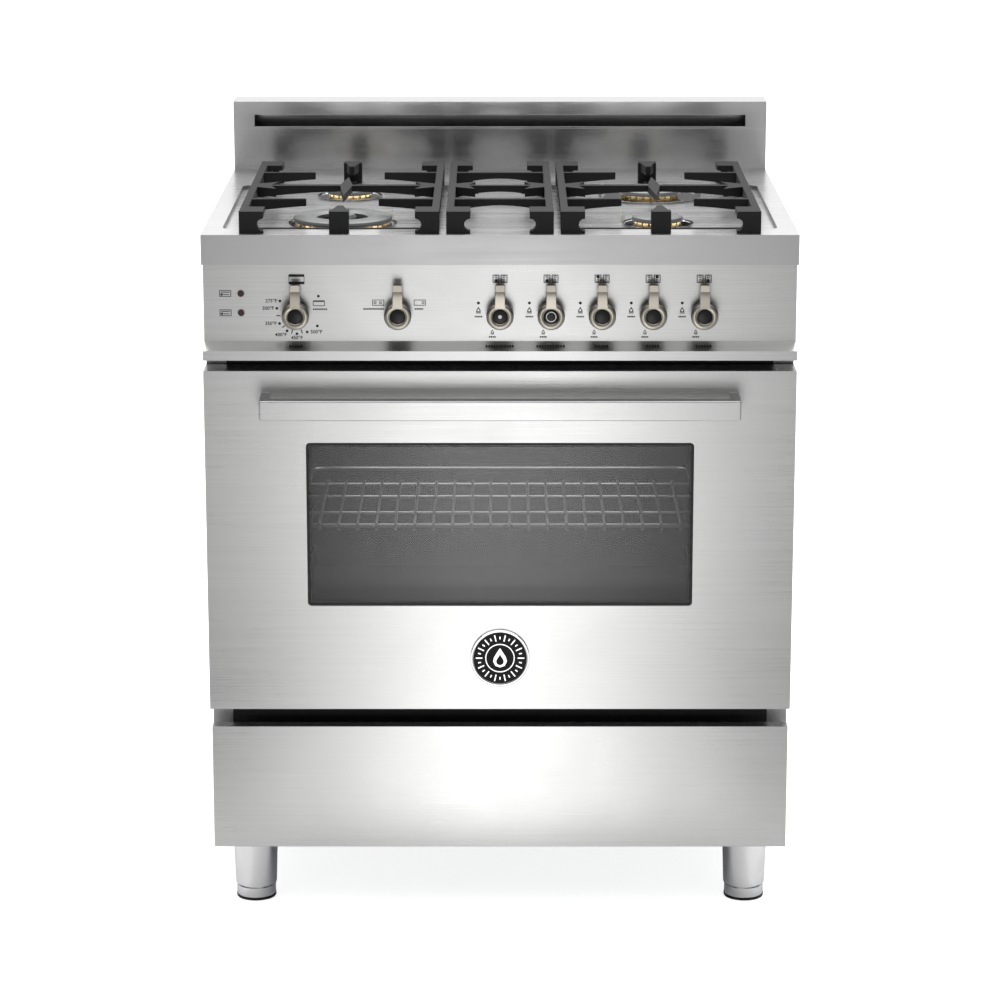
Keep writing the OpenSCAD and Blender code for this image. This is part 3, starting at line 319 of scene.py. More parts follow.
@dataclass(frozen=True)
class Coated(Finish):
    """Enamel, paint, plastic or ink over a base: colour clouds, orange-peel skin and a clear gloss."""

    colour: Colour
    rough: float
    gloss: float = 0.0
    grain_size: float = 160.0
    relief: float = 0.08
    depth: float = 0.0003
    edge_r: float = 0.0007
    shine: float = 0.5

    def paint(self, sketch: NodeSketch) -> None:
        """Lays clouds into the colour, and the skin into roughness and relief.

        Args:
            sketch: the sketch of the material.
        """
        cloud = sketch.noise((self.grain_size / 6,) * 3, detail=4.0, warp=0.3)
        skin = sketch.noise((self.grain_size * 3,) * 3, detail=4.0, roughness=0.6)
        sketch.set(Metallic=0.0, Coat_Weight=self.gloss, Coat_Roughness=0.08, Specular_IOR_Level=self.shine)
        sketch.tint(cloud, scaled(self.colour, 0.85), scaled(self.colour, 1.15))
        sketch.rough(sketch.span(skin, max(0.02, self.rough - 0.06), min(1.0, self.rough + 0.06)))
        sketch.relief(skin, self.relief, self.depth, edge_r=self.edge_r)


@dataclass(frozen=True)
class Smoked(Finish):
    """Smoked glass that is seen through, with faint wipe marks in its gloss."""

    colour: Colour
    cover: float
    rough: float = 0.14
    ior: float = 2.0

    def paint(self, sketch: NodeSketch) -> None:
        """Lays wipe marks into colour and roughness; the cover is how much of what is behind is hidden.

        Args:
            sketch: the sketch of the material.
        """
        wipe = sketch.noise((9.0, 9.0, 4.0), detail=4.0, warp=0.8)
        sketch.set(Metallic=0.0, Alpha=self.cover, IOR=self.ior)
        sketch.tint(wipe, scaled(self.colour, 0.93), scaled(self.colour, 1.07))
        sketch.rough(sketch.span(wipe, self.rough, self.rough + 0.05))


@dataclass(frozen=True)
class Fibre(Finish):
    """Mineral wool or a woven heat seal: matt, matted threads."""

    colour: Colour
    thread: float = 400.0

    def paint(self, sketch: NodeSketch) -> None:
        """Lays the threads into colour, roughness and relief.

        Args:
            sketch: the sketch of the material.
        """
        stretch = (self.thread, self.thread / 4, self.thread)
        threads = sketch.noise(stretch, detail=6.0, roughness=0.7, warp=1.2)
        sketch.set(Metallic=0.0, Sheen_Weight=0.3)
        sketch.tint(threads, scaled(self.colour, 0.6), scaled(self.colour, 1.25))
        sketch.rough(sketch.span(threads, 0.8, 1.0))
        sketch.relief(threads, 0.5, 0.001)


@dataclass(frozen=True)
class Palette:
    """Every finish of the range."""

    brushed: Finish = BrushedMetal(
        "brushed_sheet", "stainless_brushed", (0.60, 0.60, 0.595), 0.30)
    panel: Finish = BrushedMetal(
        "brushed_panel", "stainless_brushed", (0.60, 0.60, 0.595), 0.31, contrast=0.09)
    side: Finish = BrushedMetal(
        "brushed_side", "stainless_brushed", (0.58, 0.58, 0.58), 0.32, Grain.UPRIGHT)
    # the hob's upright faces get painted shade: their colour is scaled to 0.66
    polished: Finish = BrushedMetal(
        "polished_sheet", "stainless_polished", (0.80, 0.80, 0.80), 0.27,
        contrast=0.02, relief=0.015, upright_rough=0.36, upright_painted_shade=0.66)
    mirror: Finish = BrushedMetal(
        "mirror_sheet", "stainless_polished", (0.82, 0.82, 0.82), 0.18, contrast=0.02, relief=0.01)
    bowl: Finish = ClearMetal("polished_bowl", "stainless_polished", (0.78, 0.78, 0.78), 0.06)
    chrome: Finish = ClearMetal("bright_chrome", "chrome", (0.86, 0.86, 0.87), 0.04)
    wire: Finish = ClearMetal("wire_chrome", "chrome", (0.92, 0.92, 0.92), 0.3)
    knob: Finish = ClearMetal("warm_satin", "knob_metal", (0.42, 0.39, 0.335), 0.30, wear=0.04)
    zinc: Finish = ClearMetal(
        "zinc_plate", "galvanised", (0.50, 0.52, 0.54), 0.38, grain_size=60.0, wear=0.14)
    steel: Finish = ClearMetal("plain_steel", "steel_plain", (0.55, 0.55, 0.55), 0.33, wear=0.1)
    brass: Finish = ClearMetal("turned_brass", "brass", (0.72, 0.52, 0.24), 0.26, wear=0.12)
    iron: Finish = Coated(
        "cast_iron", "cast_iron", (0.008, 0.008, 0.009), 0.3, gloss=0.08, grain_size=260.0,
        relief=0.3, depth=0.0004, edge_r=0.0018, shine=0.3)
    cap: Finish = Coated(
        "cap_enamel", "cap_enamel", (0.13, 0.135, 0.135), 0.28, gloss=0.4, relief=0.12)
    enamel: Finish = Coated(
        "oven_enamel", "enamel_dark", (0.009, 0.0095, 0.01), 0.35, gloss=0.15, grain_size=60.0,
        relief=0.004, shine=0.3)
    black: Finish = Coated("black_paint", "paint_black", (0.006, 0.006, 0.006), 0.5, relief=0.15)
    ink: Finish = Coated(
        "black_ink", "paint_black", (0.01, 0.01, 0.01), 0.6, relief=0.02, edge_r=0.0)
    faint_ink: Finish = Coated(
        "grey_ink", "paint_black", (0.06, 0.06, 0.06), 0.6, relief=0.02, edge_r=0.0)
    pale_ink: Finish = Coated(
        "white_ink", "ceramic", (0.85, 0.85, 0.85), 0.5, relief=0.02, edge_r=0.0)
    button: Finish = Coated(
        "black_button", "paint_black", (0.008, 0.0075, 0.0075), 0.32, gloss=0.05, shine=0.3)
    badge: Finish = Coated(
        "badge_enamel", "badge_black", (0.004, 0.004, 0.004), 0.25, relief=0.03, shine=0.12)
    glass: Finish = Smoked("smoked_glass", "glass_smoked", (0.012, 0.0125, 0.013), 0.3)
    ceramic: Finish = Coated("white_ceramic", "ceramic", (0.8, 0.79, 0.76), 0.25, gloss=0.5)
    lens: Finish = Coated("tinted_lens", "lamp_red", (0.05, 0.004, 0.008), 0.12, gloss=1.0, relief=0.02)
    plastic: Finish = Coated("pale_plastic", "switch_plastic", (0.62, 0.6, 0.5), 0.45)
    wool: Finish = Fibre("mineral_wool", "insulation", (0.62, 0.56, 0.36))
    seal: Finish = Fibre("woven_seal", "seal", (0.05, 0.05, 0.05), 900.0)


PALETTE = Palette()


# ---------- mesh building ----------


@dataclass
class Piece:
    """One mesh piece while it is being built, in the frame of the range.

    Attributes:
        name: the object's name.
        finish: what its surface is made of.
        body: the body that it moves with.
    """

    name: str
    finish: Finish
    body: str
    mesh: bmesh.types.BMesh = field(default_factory=bmesh.new)

    def prism(self, outline: list[Point2], y_front: float, y_back: float,
              origin: Point2 = (0.0, 0.0)) -> None:
        """Adds an upright plate: an outline in X and Z, between two planes of Y.

        Args:
            outline: corner points, counted from origin.
            y_front: the plane nearest the front.
            y_back: the plane behind it.
            origin: X and Z of the outline's own origin.
        """
        self.loft([[(origin[0] + x, y, origin[1] + z) for x, z in outline] for y in (y_front, y_back)])

    def loft(self, rings: list[list[Point3]]) -> None:
        """Adds a closed solid through rings with the same count of points, and caps both ends.

        Args:
            rings: the rings, in order.
        """
        made = [[self.mesh.verts.new(point) for point in ring] for ring in rings]
        for first, second in zip(made, made[1:]):
            self._skin(first, second)
        self.mesh.faces.new(made[0])
        self.mesh.faces.new(list(reversed(made[-1])))

    def _skin(self, first: list[bmesh.types.BMVert], second: list[bmesh.types.BMVert]) -> None:
        """Joins two rings of the same count by a band of faces.

        Args:
            first: one ring.
            second: the other ring.
        """
        count = len(first)
        for i in range(count):
            j = (i + 1) % count
            self.mesh.faces.new((first[i], second[i], second[j], first[j]))

    def frame(self, outer: list[Point2], inner: list[Point2], y_front: float, y_back: float,
              origin: Point2 = (0.0, 0.0)) -> None:
        """Adds a plate with a hole: two outlines with the same count of points.

        Args:
            outer: points of the outer edge, counted from origin.
            inner: points of the hole, in the same order.
            y_front: the plane nearest the front.
            y_back: the plane behind it.
            origin: X and Z of the outlines' own origin.
        """
        def ring(outline: list[Point2], y: float) -> list[bmesh.types.BMVert]:
            """Returns the vertices of one outline at one plane."""
            return [self.mesh.verts.new((origin[0] + x, y, origin[1] + z)) for x, z in outline]

        corners = [ring(outer, y_front), ring(outer, y_back), ring(inner, y_back), ring(inner, y_front)]
        for i in range(4):
            self._skin(corners[i], corners[(i + 1) % 4])

    def block(self, low: Vector, high: Vector) -> None:
        """Adds a box between two corners.

        Args:
            low: the corner with the least X, Y and Z.
            high: the opposite corner.
        """
        outline = [(low.x, low.z), (high.x, low.z), (high.x, high.z), (low.x, high.z)]
        self.prism(outline, low.y, high.y)

    def lathe(self, profile: list[Point2], centre: Vector, steps: int = 64) -> None:
        """Turns a profile about an axis along Y.

        Args:
            profile: points of radius and Y; a radius of 0 closes the end.
            centre: a point on the axis; only its X and Z are used.
            steps: faces around the turn.
        """
        rings = []
        for radius, y in profile:
            if radius <= 0:
                rings.append([self.mesh.verts.new((centre.x, y, centre.z))])
                continue
            rings.append([self.mesh.verts.new((centre.x + s, y, centre.z + c))
                          for c, s in circle(radius, steps)])
        for first, second in zip(rings, rings[1:]):
            for i in range(steps):
                j = (i + 1) % steps
                corners = (first[i % len(first)], first[j % len(first)],
                           second[j % len(second)], second[i % len(second)])
                unique = list(dict.fromkeys(corners))
                if len(unique) > 2:
                    self.mesh.faces.new(unique)

    def numeral(self, text: str, height: float, x: float, z: float, y: float, thick: float) -> None:
        """Adds printed numerals that face the front.

        Args:
            text: the numerals.
            height: height of a numeral.
            x: middle of the text.
            z: middle of the text.
            y: plane that the print stands on.
            thick: thickness of the print.
        """
        curve = bpy.data.curves.new(self.name + "_text", "FONT")
        curve.body = text
        curve.size = height * FONT_SIZE
        curve.offset = height * FONT_WEIGHT
        curve.extrude = thick / 2
        curve.align_x = "CENTER"
        curve.align_y = "CENTER"
        curve.resolution_u = 2
        holder = bpy.data.objects.new(self.name + "_text", curve)
        printed = bpy.data.meshes.new_from_object(holder)
        printed.transform(Matrix.Translation((x, y - thick / 2, z)) @ Matrix.Rotation(math.pi / 2, 4, "X"))
        self.mesh.from_mesh(printed)
        bpy.data.objects.remove(holder)
        bpy.data.curves.remove(curve)
        bpy.data.meshes.remove(printed)

    def settle(self, bevel: float = 0.0, sharp: float = 35.0, replaces: tuple[str, ...] = ()) -> None:
        """Turns the mesh into an object that rides on its body.

        Args:
            bevel: width of rounded edges, or 0 for none.
            sharp: angle in degrees above which an edge stays crisp.
            replaces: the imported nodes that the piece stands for.
        """
        bmesh.ops.remove_doubles(self.mesh, verts=self.mesh.verts, dist=MERGE_GAP)
        bmesh.ops.recalc_face_normals(self.mesh, faces=self.mesh.faces)
        for face in self.mesh.faces:
            face.smooth = True
        data = bpy.data.meshes.new(self.name)
        self.mesh.to_mesh(data)
        self.mesh.free()
        data.set_sharp_from_angle(angle=math.radians(sharp))
        data.materials.append(self.finish.make())
        thing = bpy.data.objects.new(self.name, data)
        bpy.context.scene.collection.objects.link(thing)
        if bevel > 0:
            rounding = thing.modifiers.new("rounding", "BEVEL")
            rounding.width = bevel
            rounding.segments = 3
            rounding.limit_method = "ANGLE"
            rounding.angle_limit = math.radians(sharp)
            rounding.harden_normals = True
        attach(thing, self.body)
        if replaces:
            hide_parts(*replaces)
        LOG.info("%s: %d faces on %s", self.name, len(data.polygons), self.body)


def rounded(width: float, height: float, radius: float, steps: int = 6) -> list[Point2]:
    """Returns a rectangle with round corners, about the origin.

    Args:
        width: full width.
        height: full height.
        radius: radius of the corners.
        steps: segments in each corner.

    Returns:
        The points, in order.
    """
    points = []
    for corner in range(4):
        sx = 1 if corner in (0, 3) else -1
        sz = 1 if corner in (0, 1) else -1
        for step in range(steps + 1):
            angle = math.pi / 2 * (corner + step / steps)
            points.append((sx * (width / 2 - radius) + radius * math.cos(angle),
                           sz * (height / 2 - radius) + radius * math.sin(angle)))
    return points


def circle(radius: float, steps: int = 32) -> list[Point2]:
    """Returns the points of a circle about the origin."""
    return [(radius * math.cos(2 * math.pi * i / steps), radius * math.sin(2 * math.pi * i / steps))
            for i in range(steps)]


def middle(node: str) -> Vector:
    """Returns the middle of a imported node's box."""
    low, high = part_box(node)
    return (low + high) / 2


def dress(node: str, finish: Finish) -> None:
    """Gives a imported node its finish.

    Args:
        node: the node's name.
        finish: the finish that all its slots get.
    """
    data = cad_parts[node].data
    material = finish.make()
    if not data.materials:
        data.materials.append(material)
    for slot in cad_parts[node].material_slots:
        slot.material = material
    LOG.info("%s: %s", node, finish.name)


@dataclass
class SubAssembly:
    """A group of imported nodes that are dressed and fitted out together.

    Attributes:
        finishes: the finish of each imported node.
    """

    finishes: dict[str, Finish] = field(default_factory=dict)

    def dress(self) -> None:
        """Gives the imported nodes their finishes."""
        for node, finish in self.finishes.items():
            dress(node, finish)

    def build(self) -> None:
        """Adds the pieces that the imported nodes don't have; none unless the sub-assembly says so."""


# ---------- body ----------


@dataclass
class Body(SubAssembly):
    """The outer sheets, the back, the legs and what sits behind the sheets.

    Attributes:
        feet: the adjustable feet, each on a body of its own.
        sole_h: height of the plastic sole under a foot.
        sole_grow: how far the sole stands past the foot all round.
        sole_ease: rounding of the sole's lower edge, sideways and upwards.
    """

    finishes: dict[str, Finish] = field(default_factory=lambda: {
        "side_panel_left": PALETTE.side,
        "side_panel_right": PALETTE.side,
        "rear_cover": PALETTE.zinc,
        "base_tray": PALETTE.zinc,
        "backguard": PALETTE.mirror,
        "cover_screws": PALETTE.steel,
        "leg_sleeves": PALETTE.chrome,
        "hinge_receivers": PALETTE.steel,
        "drawer_runners": PALETTE.zinc,
        "gas_manifold": PALETTE.steel,
        "gas_valves": PALETTE.brass,
        "function_switch": PALETTE.plastic,
        "foot_front_left": PALETTE.chrome,
        "foot_front_right": PALETTE.chrome,
        "foot_rear_left": PALETTE.chrome,
        "foot_rear_right": PALETTE.chrome,
    })
    feet: tuple[str, ...] = ("foot_front_left", "foot_front_right", "foot_rear_left", "foot_rear_right")
    sole_h: float = 0.004
    sole_grow: float = 0.0006
    sole_ease: tuple[float, float] = (0.001, 0.0012)

    def build(self) -> None:
        """Adds the dark plastic sole that shows as a line under each foot."""
        for foot in self.feet:
            low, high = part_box(foot)
            centre = middle(foot)
            radius = (high.x - low.x) / 2 + self.sole_grow
            levels = ((radius - self.sole_ease[0], low.z),
                      (radius, low.z + self.sole_ease[1]),
                      (radius, low.z + self.sole_h))
            sole = Piece(foot + "_sole", PALETTE.button, foot)
            sole.loft([[(centre.x + x, centre.y + y, z) for x, y in circle(r, 48)] for r, z in levels])
            sole.settle()


# ---------- hob ----------


@dataclass
class Hob(SubAssembly):
    """The polished hob, the burners and the cast pan supports."""

    finishes: dict[str, Finish] = field(default_factory=lambda: {
        "cooktop": PALETTE.polished,
        "burner_bases": PALETTE.bowl,
        "burner_heads": PALETTE.brass,
        "burner_caps": PALETTE.cap,
        "spark_electrodes": PALETTE.ceramic,
        "grate_left": PALETTE.iron,
        "grate_centre": PALETTE.iron,
        "grate_right": PALETTE.iron,
    })


# ---------- controls ----------


@dataclass
class Knob:
    """One knob: a satin ring with an upright lever, a black collar behind the ring that is painted shade,
    and a black cap.

    Attributes:
        name: the knob's body and node.
        mark: what is printed on its cap.
        cap_r: radius of the cap's seat in the ring.
        ring_d: depth of the ring; the black collar of painted shade starts just inside it.
        lever_w: half width of the lever, as a share of the ring's radius.
        bevel: rounding of the lever's edges.
    """

    name: str
    mark: CapMark = CapMark.NONE
    cap_r: float = 0.0097
    ring_d: float = 0.0125
    lever_w: float = 0.36
    bevel: float = 0.0009

    def build(self) -> None:
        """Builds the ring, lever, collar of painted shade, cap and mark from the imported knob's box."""
        low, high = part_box(self.name)
        ring_r = (high.x - low.x) / 2
        centre = Vector((middle(self.name).x, 0.0, low.z + ring_r))
        lever_l = high.z - centre.z
        self._ring(low, high, centre, ring_r)
        self._lever(low, centre, ring_r, lever_l)
        self._cap(low, centre)

    def _ring(self, low: Vector, high: Vector, centre: Vector, ring_r: float) -> None:
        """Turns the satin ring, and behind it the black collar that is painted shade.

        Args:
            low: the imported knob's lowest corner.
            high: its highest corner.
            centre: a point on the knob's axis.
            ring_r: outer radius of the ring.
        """
        ring = Piece(self.name + "_ring", PALETTE.knob, self.name)
        face = low.y
        ring_back = face + self.ring_d
        ring.lathe([(self.cap_r - 0.0012, face + 0.0035), (self.cap_r, face + 0.0012),
                    (self.cap_r + 0.0008, face + 0.0004), (ring_r - 0.0022, face + 0.0006),
                    (ring_r - 0.0006, face + 0.0016), (ring_r, face + 0.0034),
                    (ring_r, ring_back - 0.001), (ring_r - 0.0012, ring_back),
                    (self.cap_r, ring_back)], centre)
        ring.settle(sharp=50.0, replaces=(self.name,))
        # black ring behind the knob: painted shade, standing for the shade that the knob casts behind it
        shadow_collar = Piece(self.name + "_collar", PALETTE.button, self.name)
        shadow_collar_front = ring_back - 0.0001
        shadow_collar.lathe([(self.cap_r, shadow_collar_front), (ring_r - 0.0018, shadow_collar_front),
                      (ring_r - 0.0014, high.y - 0.001), (ring_r - 0.003, high.y),
                      (self.cap_r - 0.004, high.y)], centre)
        shadow_collar.settle()

    def _lever(self, low: Vector, centre: Vector, ring_r: float, lever_l: float) -> None:
        """Lofts the lever: it rises from the ring and ends in a slanted tip.

        Args:
            low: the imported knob's lowest corner.
            centre: a point on the knob's axis.
            ring_r: outer radius of the ring.
            lever_l: length from the axis to the tip.
        """
        lever = Piece(self.name + "_lever", PALETTE.knob, self.name)
        face = low.y
        back = face + 0.0105
        half = ring_r * self.lever_w
        stations = [
            (self.cap_r * 1.04, half * 1.25, face - 0.0002),
            (ring_r * 0.86, half * 1.02, face - 0.0012),
            (lever_l - 0.0085, half * 0.98, face - 0.0022),
            (lever_l - 0.0078, half * 0.98, face - 0.0020),
            (lever_l - 0.0006, half * 0.88, face + 0.0046),
            (lever_l, half * 0.8, face + 0.0062),
        ]
        lever.loft([[(centre.x + x, v, centre.z + z)
                     for x, v in ((-w, y), (w, y), (w * 1.02, back), (-w * 1.02, back))]
                    for z, w, y in stations])
        lever.settle(bevel=self.bevel, sharp=25.0)

    def _cap(self, low: Vector, centre: Vector) -> None:
        """Turns the black cap, and prints its mark.

        Args:
            low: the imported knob's lowest corner.
            centre: a point on the knob's axis.
        """
        face = low.y + 0.0012
        cap = Piece(self.name + "_cap", PALETTE.button, self.name)
        edge_r = self.cap_r - 0.0003
        back = face + 0.003
        cap.lathe([(0.0, face - 0.0004), (self.cap_r * 0.5, face - 0.0002),
                   (self.cap_r - 0.0012, face + 0.0003), (edge_r, face + 0.0012),
                   (edge_r, back), (0.0, back)], centre)
        cap.settle()
        if self.mark is CapMark.NONE:
            return
        mark = Piece(self.name + "_mark", PALETTE.pale_ink, self.name)
        print_y = face - 0.0006
        if self.mark is CapMark.DOT:
            mark.prism(circle(0.0024), print_y, print_y + 0.0008, (centre.x, centre.z))
        else:
            mark.frame(circle(0.0066, 48), circle(0.0056, 48), print_y, print_y + 0.0012,
                       (centre.x, centre.z))
        mark.settle()


@dataclass(frozen=True)
class DialDot:
    """A dot of the oven dial.

    Attributes:
        place: X and Z of the dot, counted from the knob's axis.
        text: the temperature beside it, or nothing.
        shift: X and Z of the temperature's middle, counted from the dot.
    """

    place: Point2
    text: str = ""
    shift: Point2 = (0.0, 0.0)


@dataclass
class PanelPrint:
    """The print on the control panel: dial scale, icons and dashes in place of words.

    Attributes:
        face_y: the panel's upright face.
        level_z: the height that the heights of the print are counted from.
        ink: how far the print stands before and behind the face.
        line: width of the lines of most icons.
        dot_r: radius of the dots of the oven dial.
        tick: length and width of the ticks between them.
        numeral_h: height of the temperatures.
        dots: the dots of the oven dial.
        ticks: X and Z of its ticks.
    """

    face_y: float
    level_z: float
    ink: float = 0.00008
    line: float = 0.0009
    dot_r: float = 0.0018
    tick: Point2 = (0.0056, 0.0013)
    numeral_h: float = 0.0045
    dots: tuple[DialDot, ...] = (
        DialDot((-0.0208, 0.0212), "275°F", (-0.0112, 0.0)),
        DialDot((-0.0249, 0.0116), "300°F", (-0.0112, 0.0)),
        DialDot((-0.0217, -0.0082), "350°F", (-0.0112, 0.0)),
        DialDot((-0.0122, -0.0177), "400°F", (-0.0080, -0.0052)),
        DialDot((0.0004, -0.0216), "450°F", (0.0, -0.0052)),
        DialDot((0.0136, -0.0192), "500°F", (0.0118, 0.0)),
        DialDot((0.0267, -0.0113)),
        DialDot((0.0285, 0.0274)),
    )
    ticks: tuple[Point2, ...] = (
        (-0.0229, 0.0021), (-0.0161, -0.0118), (-0.0058, -0.0186), (0.0066, -0.0186))

    def _piece(self, name: str, finish: Finish = PALETTE.ink) -> Piece:
        """Starts a printed piece that rides on the chassis."""
        return Piece("print_" + name, finish, "chassis")

    def _at(self, piece: Piece, outline: list[Point2], x: float, z: float) -> None:
        """Prints one filled shape."""
        piece.prism(outline, self.face_y - self.ink, self.face_y + self.ink, (x, z))

    def _ring(self, piece: Piece, outer: list[Point2], inner: list[Point2], x: float, z: float) -> None:
        """Prints one shape with a hole."""
        piece.frame(outer, inner, self.face_y - self.ink, self.face_y + self.ink, (x, z))

    def _hollow(self, piece: Piece, width: float, height: float, line: float, x: float, z: float) -> None:
        """Prints the outline of a rectangle.

        Args:
            piece: the piece that it is added to.
            width: its full width.
            height: its full height.
            line: width of its line.
            x: its middle.
            z: its middle.
        """
        outer = rounded(width, height, line * 0.6, 2)
        inner = rounded(width - 2 * line, height - 2 * line, line * 0.3, 2)
        self._ring(piece, outer, inner, x, z)

    def _bar(self, piece: Piece, width: float, height: float, x: float, z: float, turn: float = 0.0) -> None:
        """Prints a filled bar, turned by an angle in radians.

        Args:
            piece: the piece that it is added to.
            width: its width.
            height: its height.
            x: its middle.
            z: its middle.
            turn: the angle, from level.
        """
        half_w, half_h = width / 2, height / 2
        corners = [(-half_w, -half_h), (half_w, -half_h), (half_w, half_h), (-half_w, half_h)]
        c, s = math.cos(turn), math.sin(turn)
        self._at(piece, [(a * c - b * s, a * s + b * c) for a, b in corners], x, z)

    def _dashes(self, piece: Piece, width: float, x: float, z: float) -> None:
        """Prints a short row of dashes, which stands where a word would be.

        Args:
            piece: the piece that it is added to.
            width: width of the row.
            x: its middle.
            z: its middle.
        """
        count = max(3, round(width / 0.0022))
        pitch = width / count
        for i in range(count):
            self._bar(piece, pitch * 0.78, 0.0021, x - width / 2 + (i + 0.5) * pitch, z)

    def _flame(self, piece: Piece, height: float, x: float, z: float) -> None:
        """Prints a flame: a drop with a foot line below it.

        Args:
            piece: the piece that it is added to.
            height: height of the flame.
            x: its middle.
            z: its middle.
        """
        half = height * 0.36
        right = [(half * 0.55, height * 0.16), (half, -height * 0.16), (half * 0.75, -height * 0.36)]
        drop = [(0.0, height * 0.5), *right, *((-px, pz) for px, pz in reversed(right))]
        inner = [(px * 0.52, pz * 0.52 - height * 0.03) for px, pz in drop]
        self._ring(piece, drop, inner, x, z)
        self._bar(piece, half * 2.1, height * 0.12, x, z - height * 0.47)

    def thermostat(self, x: float) -> None:
        """Prints the oven dial: its temperatures, ticks and dots, and the icons of oven and grill.

        Args:
            x: the knob's axis.
        """
        scale = self._piece("oven_dial")
        for dot in self.dots:
            dot_x, dot_z = x + dot.place[0], self.level_z + dot.place[1]
            self._at(scale, circle(self.dot_r, 20), dot_x, dot_z)
            if dot.text:
                scale.numeral(dot.text, self.numeral_h, dot_x + dot.shift[0], dot_z + dot.shift[1],
                              self.face_y, self.ink)
        for dx, dz in self.ticks:
            self._bar(scale, *self.tick, x + dx, self.level_z + dz, math.atan2(dz, dx))
        icon_x, icon_z = x + 0.0008, self.level_z + 0.0493
        for dz in (-0.0048, 0.0048):
            self._bar(scale, 0.0202, 0.0034, icon_x, icon_z + dz)
        for dx in (-0.0097, 0.0097):
            self._bar(scale, 0.0008, 0.0070, icon_x + dx, icon_z)
        self._bar(scale, 0.0120, 0.0006, icon_x, icon_z - 0.0010)
        self._hollow(scale, 0.0153, 0.0074, self.line, x + 0.0290, self.level_z + 0.0182)
        self._bar(scale, 0.0130, 0.0013, x + 0.0290, self.level_z + 0.0206)
        self._dashes(scale, 0.0187, x + 0.0304, self.level_z + 0.0104)
        scale.settle()

    def function(self, x: float) -> None:
        """Prints the icons of the fan on the left and the lamp on the right of the function knob.

        Args:
            x: the knob's axis.
        """
        icons = self._piece("oven_function")
        icon_z, words_z = self.level_z + 0.0190, self.level_z + 0.0108
        for dx, marks in ((-0.0255, (-0.0040, 0.0030)), (0.0278, (0.0042,))):
            self._hollow(icons, 0.0154, 0.0077, self.line, x + dx, icon_z)
            for mark in marks:
                self._ring(icons, circle(0.0019, 16), circle(0.0010, 16), x + dx + mark, icon_z)
        self._dashes(icons, 0.0270, x - 0.0315, words_z)
        self._dashes(icons, 0.0114, x + 0.0266, words_z)
        icons.settle()

    def burner(self, name: str, x: float, burner: Burner) -> None:
        """Prints the icons around one hob knob.

        Args:
            name: the knob's name, used in the piece's name.
            x: the knob's axis.
            burner: the burner that the small plan of the hob picks out.
        """
        icons = self._piece(name)
        plan_z = self.level_z + 0.0500
        for column in (-1, 1):
            self._hollow(icons, 0.0086, 0.0106, 0.0011, x + column * 0.0052, plan_z)
            for row in (-1, 1):
                place = (x + column * 0.0052, plan_z + row * 0.0025)
                if burner.value == (column, row):
                    self._at(icons, circle(0.0022, 20), *place)
                else:
                    self._ring(icons, circle(0.0018, 20), circle(0.0010, 20), *place)
        full_x, low_x = x - 0.0276, x - 0.0098
        self._at(icons, circle(0.0019, 20), full_x, self.level_z + 0.0185)
        self._flame(icons, 0.0085, full_x, self.level_z + 0.0095)
        self._dashes(icons, 0.0100, full_x, self.level_z + 0.0008)
        self._flame(icons, 0.0062, low_x, self.level_z - 0.0190)
        self._dashes(icons, 0.0092, low_x, self.level_z - 0.0256)
        icons.settle()

    def lamps(self, x: float, levels: tuple[float, float]) -> None:
        """Prints the icon beside each indicator lamp.

        Args:
            x: the lamps' axis.
            levels: the height of each lamp.
        """
        icons = self._piece("lamp_icons", PALETTE.faint_ink)
        icon_x = x - 0.0199
        for level in levels:
            self._hollow(icons, 0.0153, 0.0086, 0.0010, icon_x, level)
            self._bar(icons, 0.0110, 0.0011, icon_x, level + 0.0018)
            self._bar(icons, 0.0075, 0.0011, icon_x + 0.0012, level - 0.0014)
            self._bar(icons, 0.0030, 0.0030, icon_x - 0.0046, level - 0.0012)
        icons.settle()

    def ledge(self, names: dict[float, float], low: Vector, rise: float) -> None:
        """Prints a row of dashes on the sloped ledge under a knob.

        Args:
            names: the width of the row for each X.
            low: front edge of the ledge, with Y and Z used.
            rise: height of the ledge from its front to its back.
        """
        words = self._piece("ledge_dashes")
        depth = self.face_y - low.y
        row_front, row_d = 0.36, 0.0060
        for x, width in names.items():
            count = max(3, round(width / 0.0034))
            pitch = width / count
            for i in range(count):
                left = x - width / 2 + i * pitch
                corners = []
                for share in (row_front, row_front + row_d / depth):
                    y = low.y + share * depth
                    z = low.z + share * rise + self.ink
                    corners.append(((left, y, z), (left + pitch * 0.72, y, z)))
                (a, b), (d, c) = corners
                words.mesh.faces.new([words.mesh.verts.new(p) for p in (a, b, c, d)])
        words.settle()


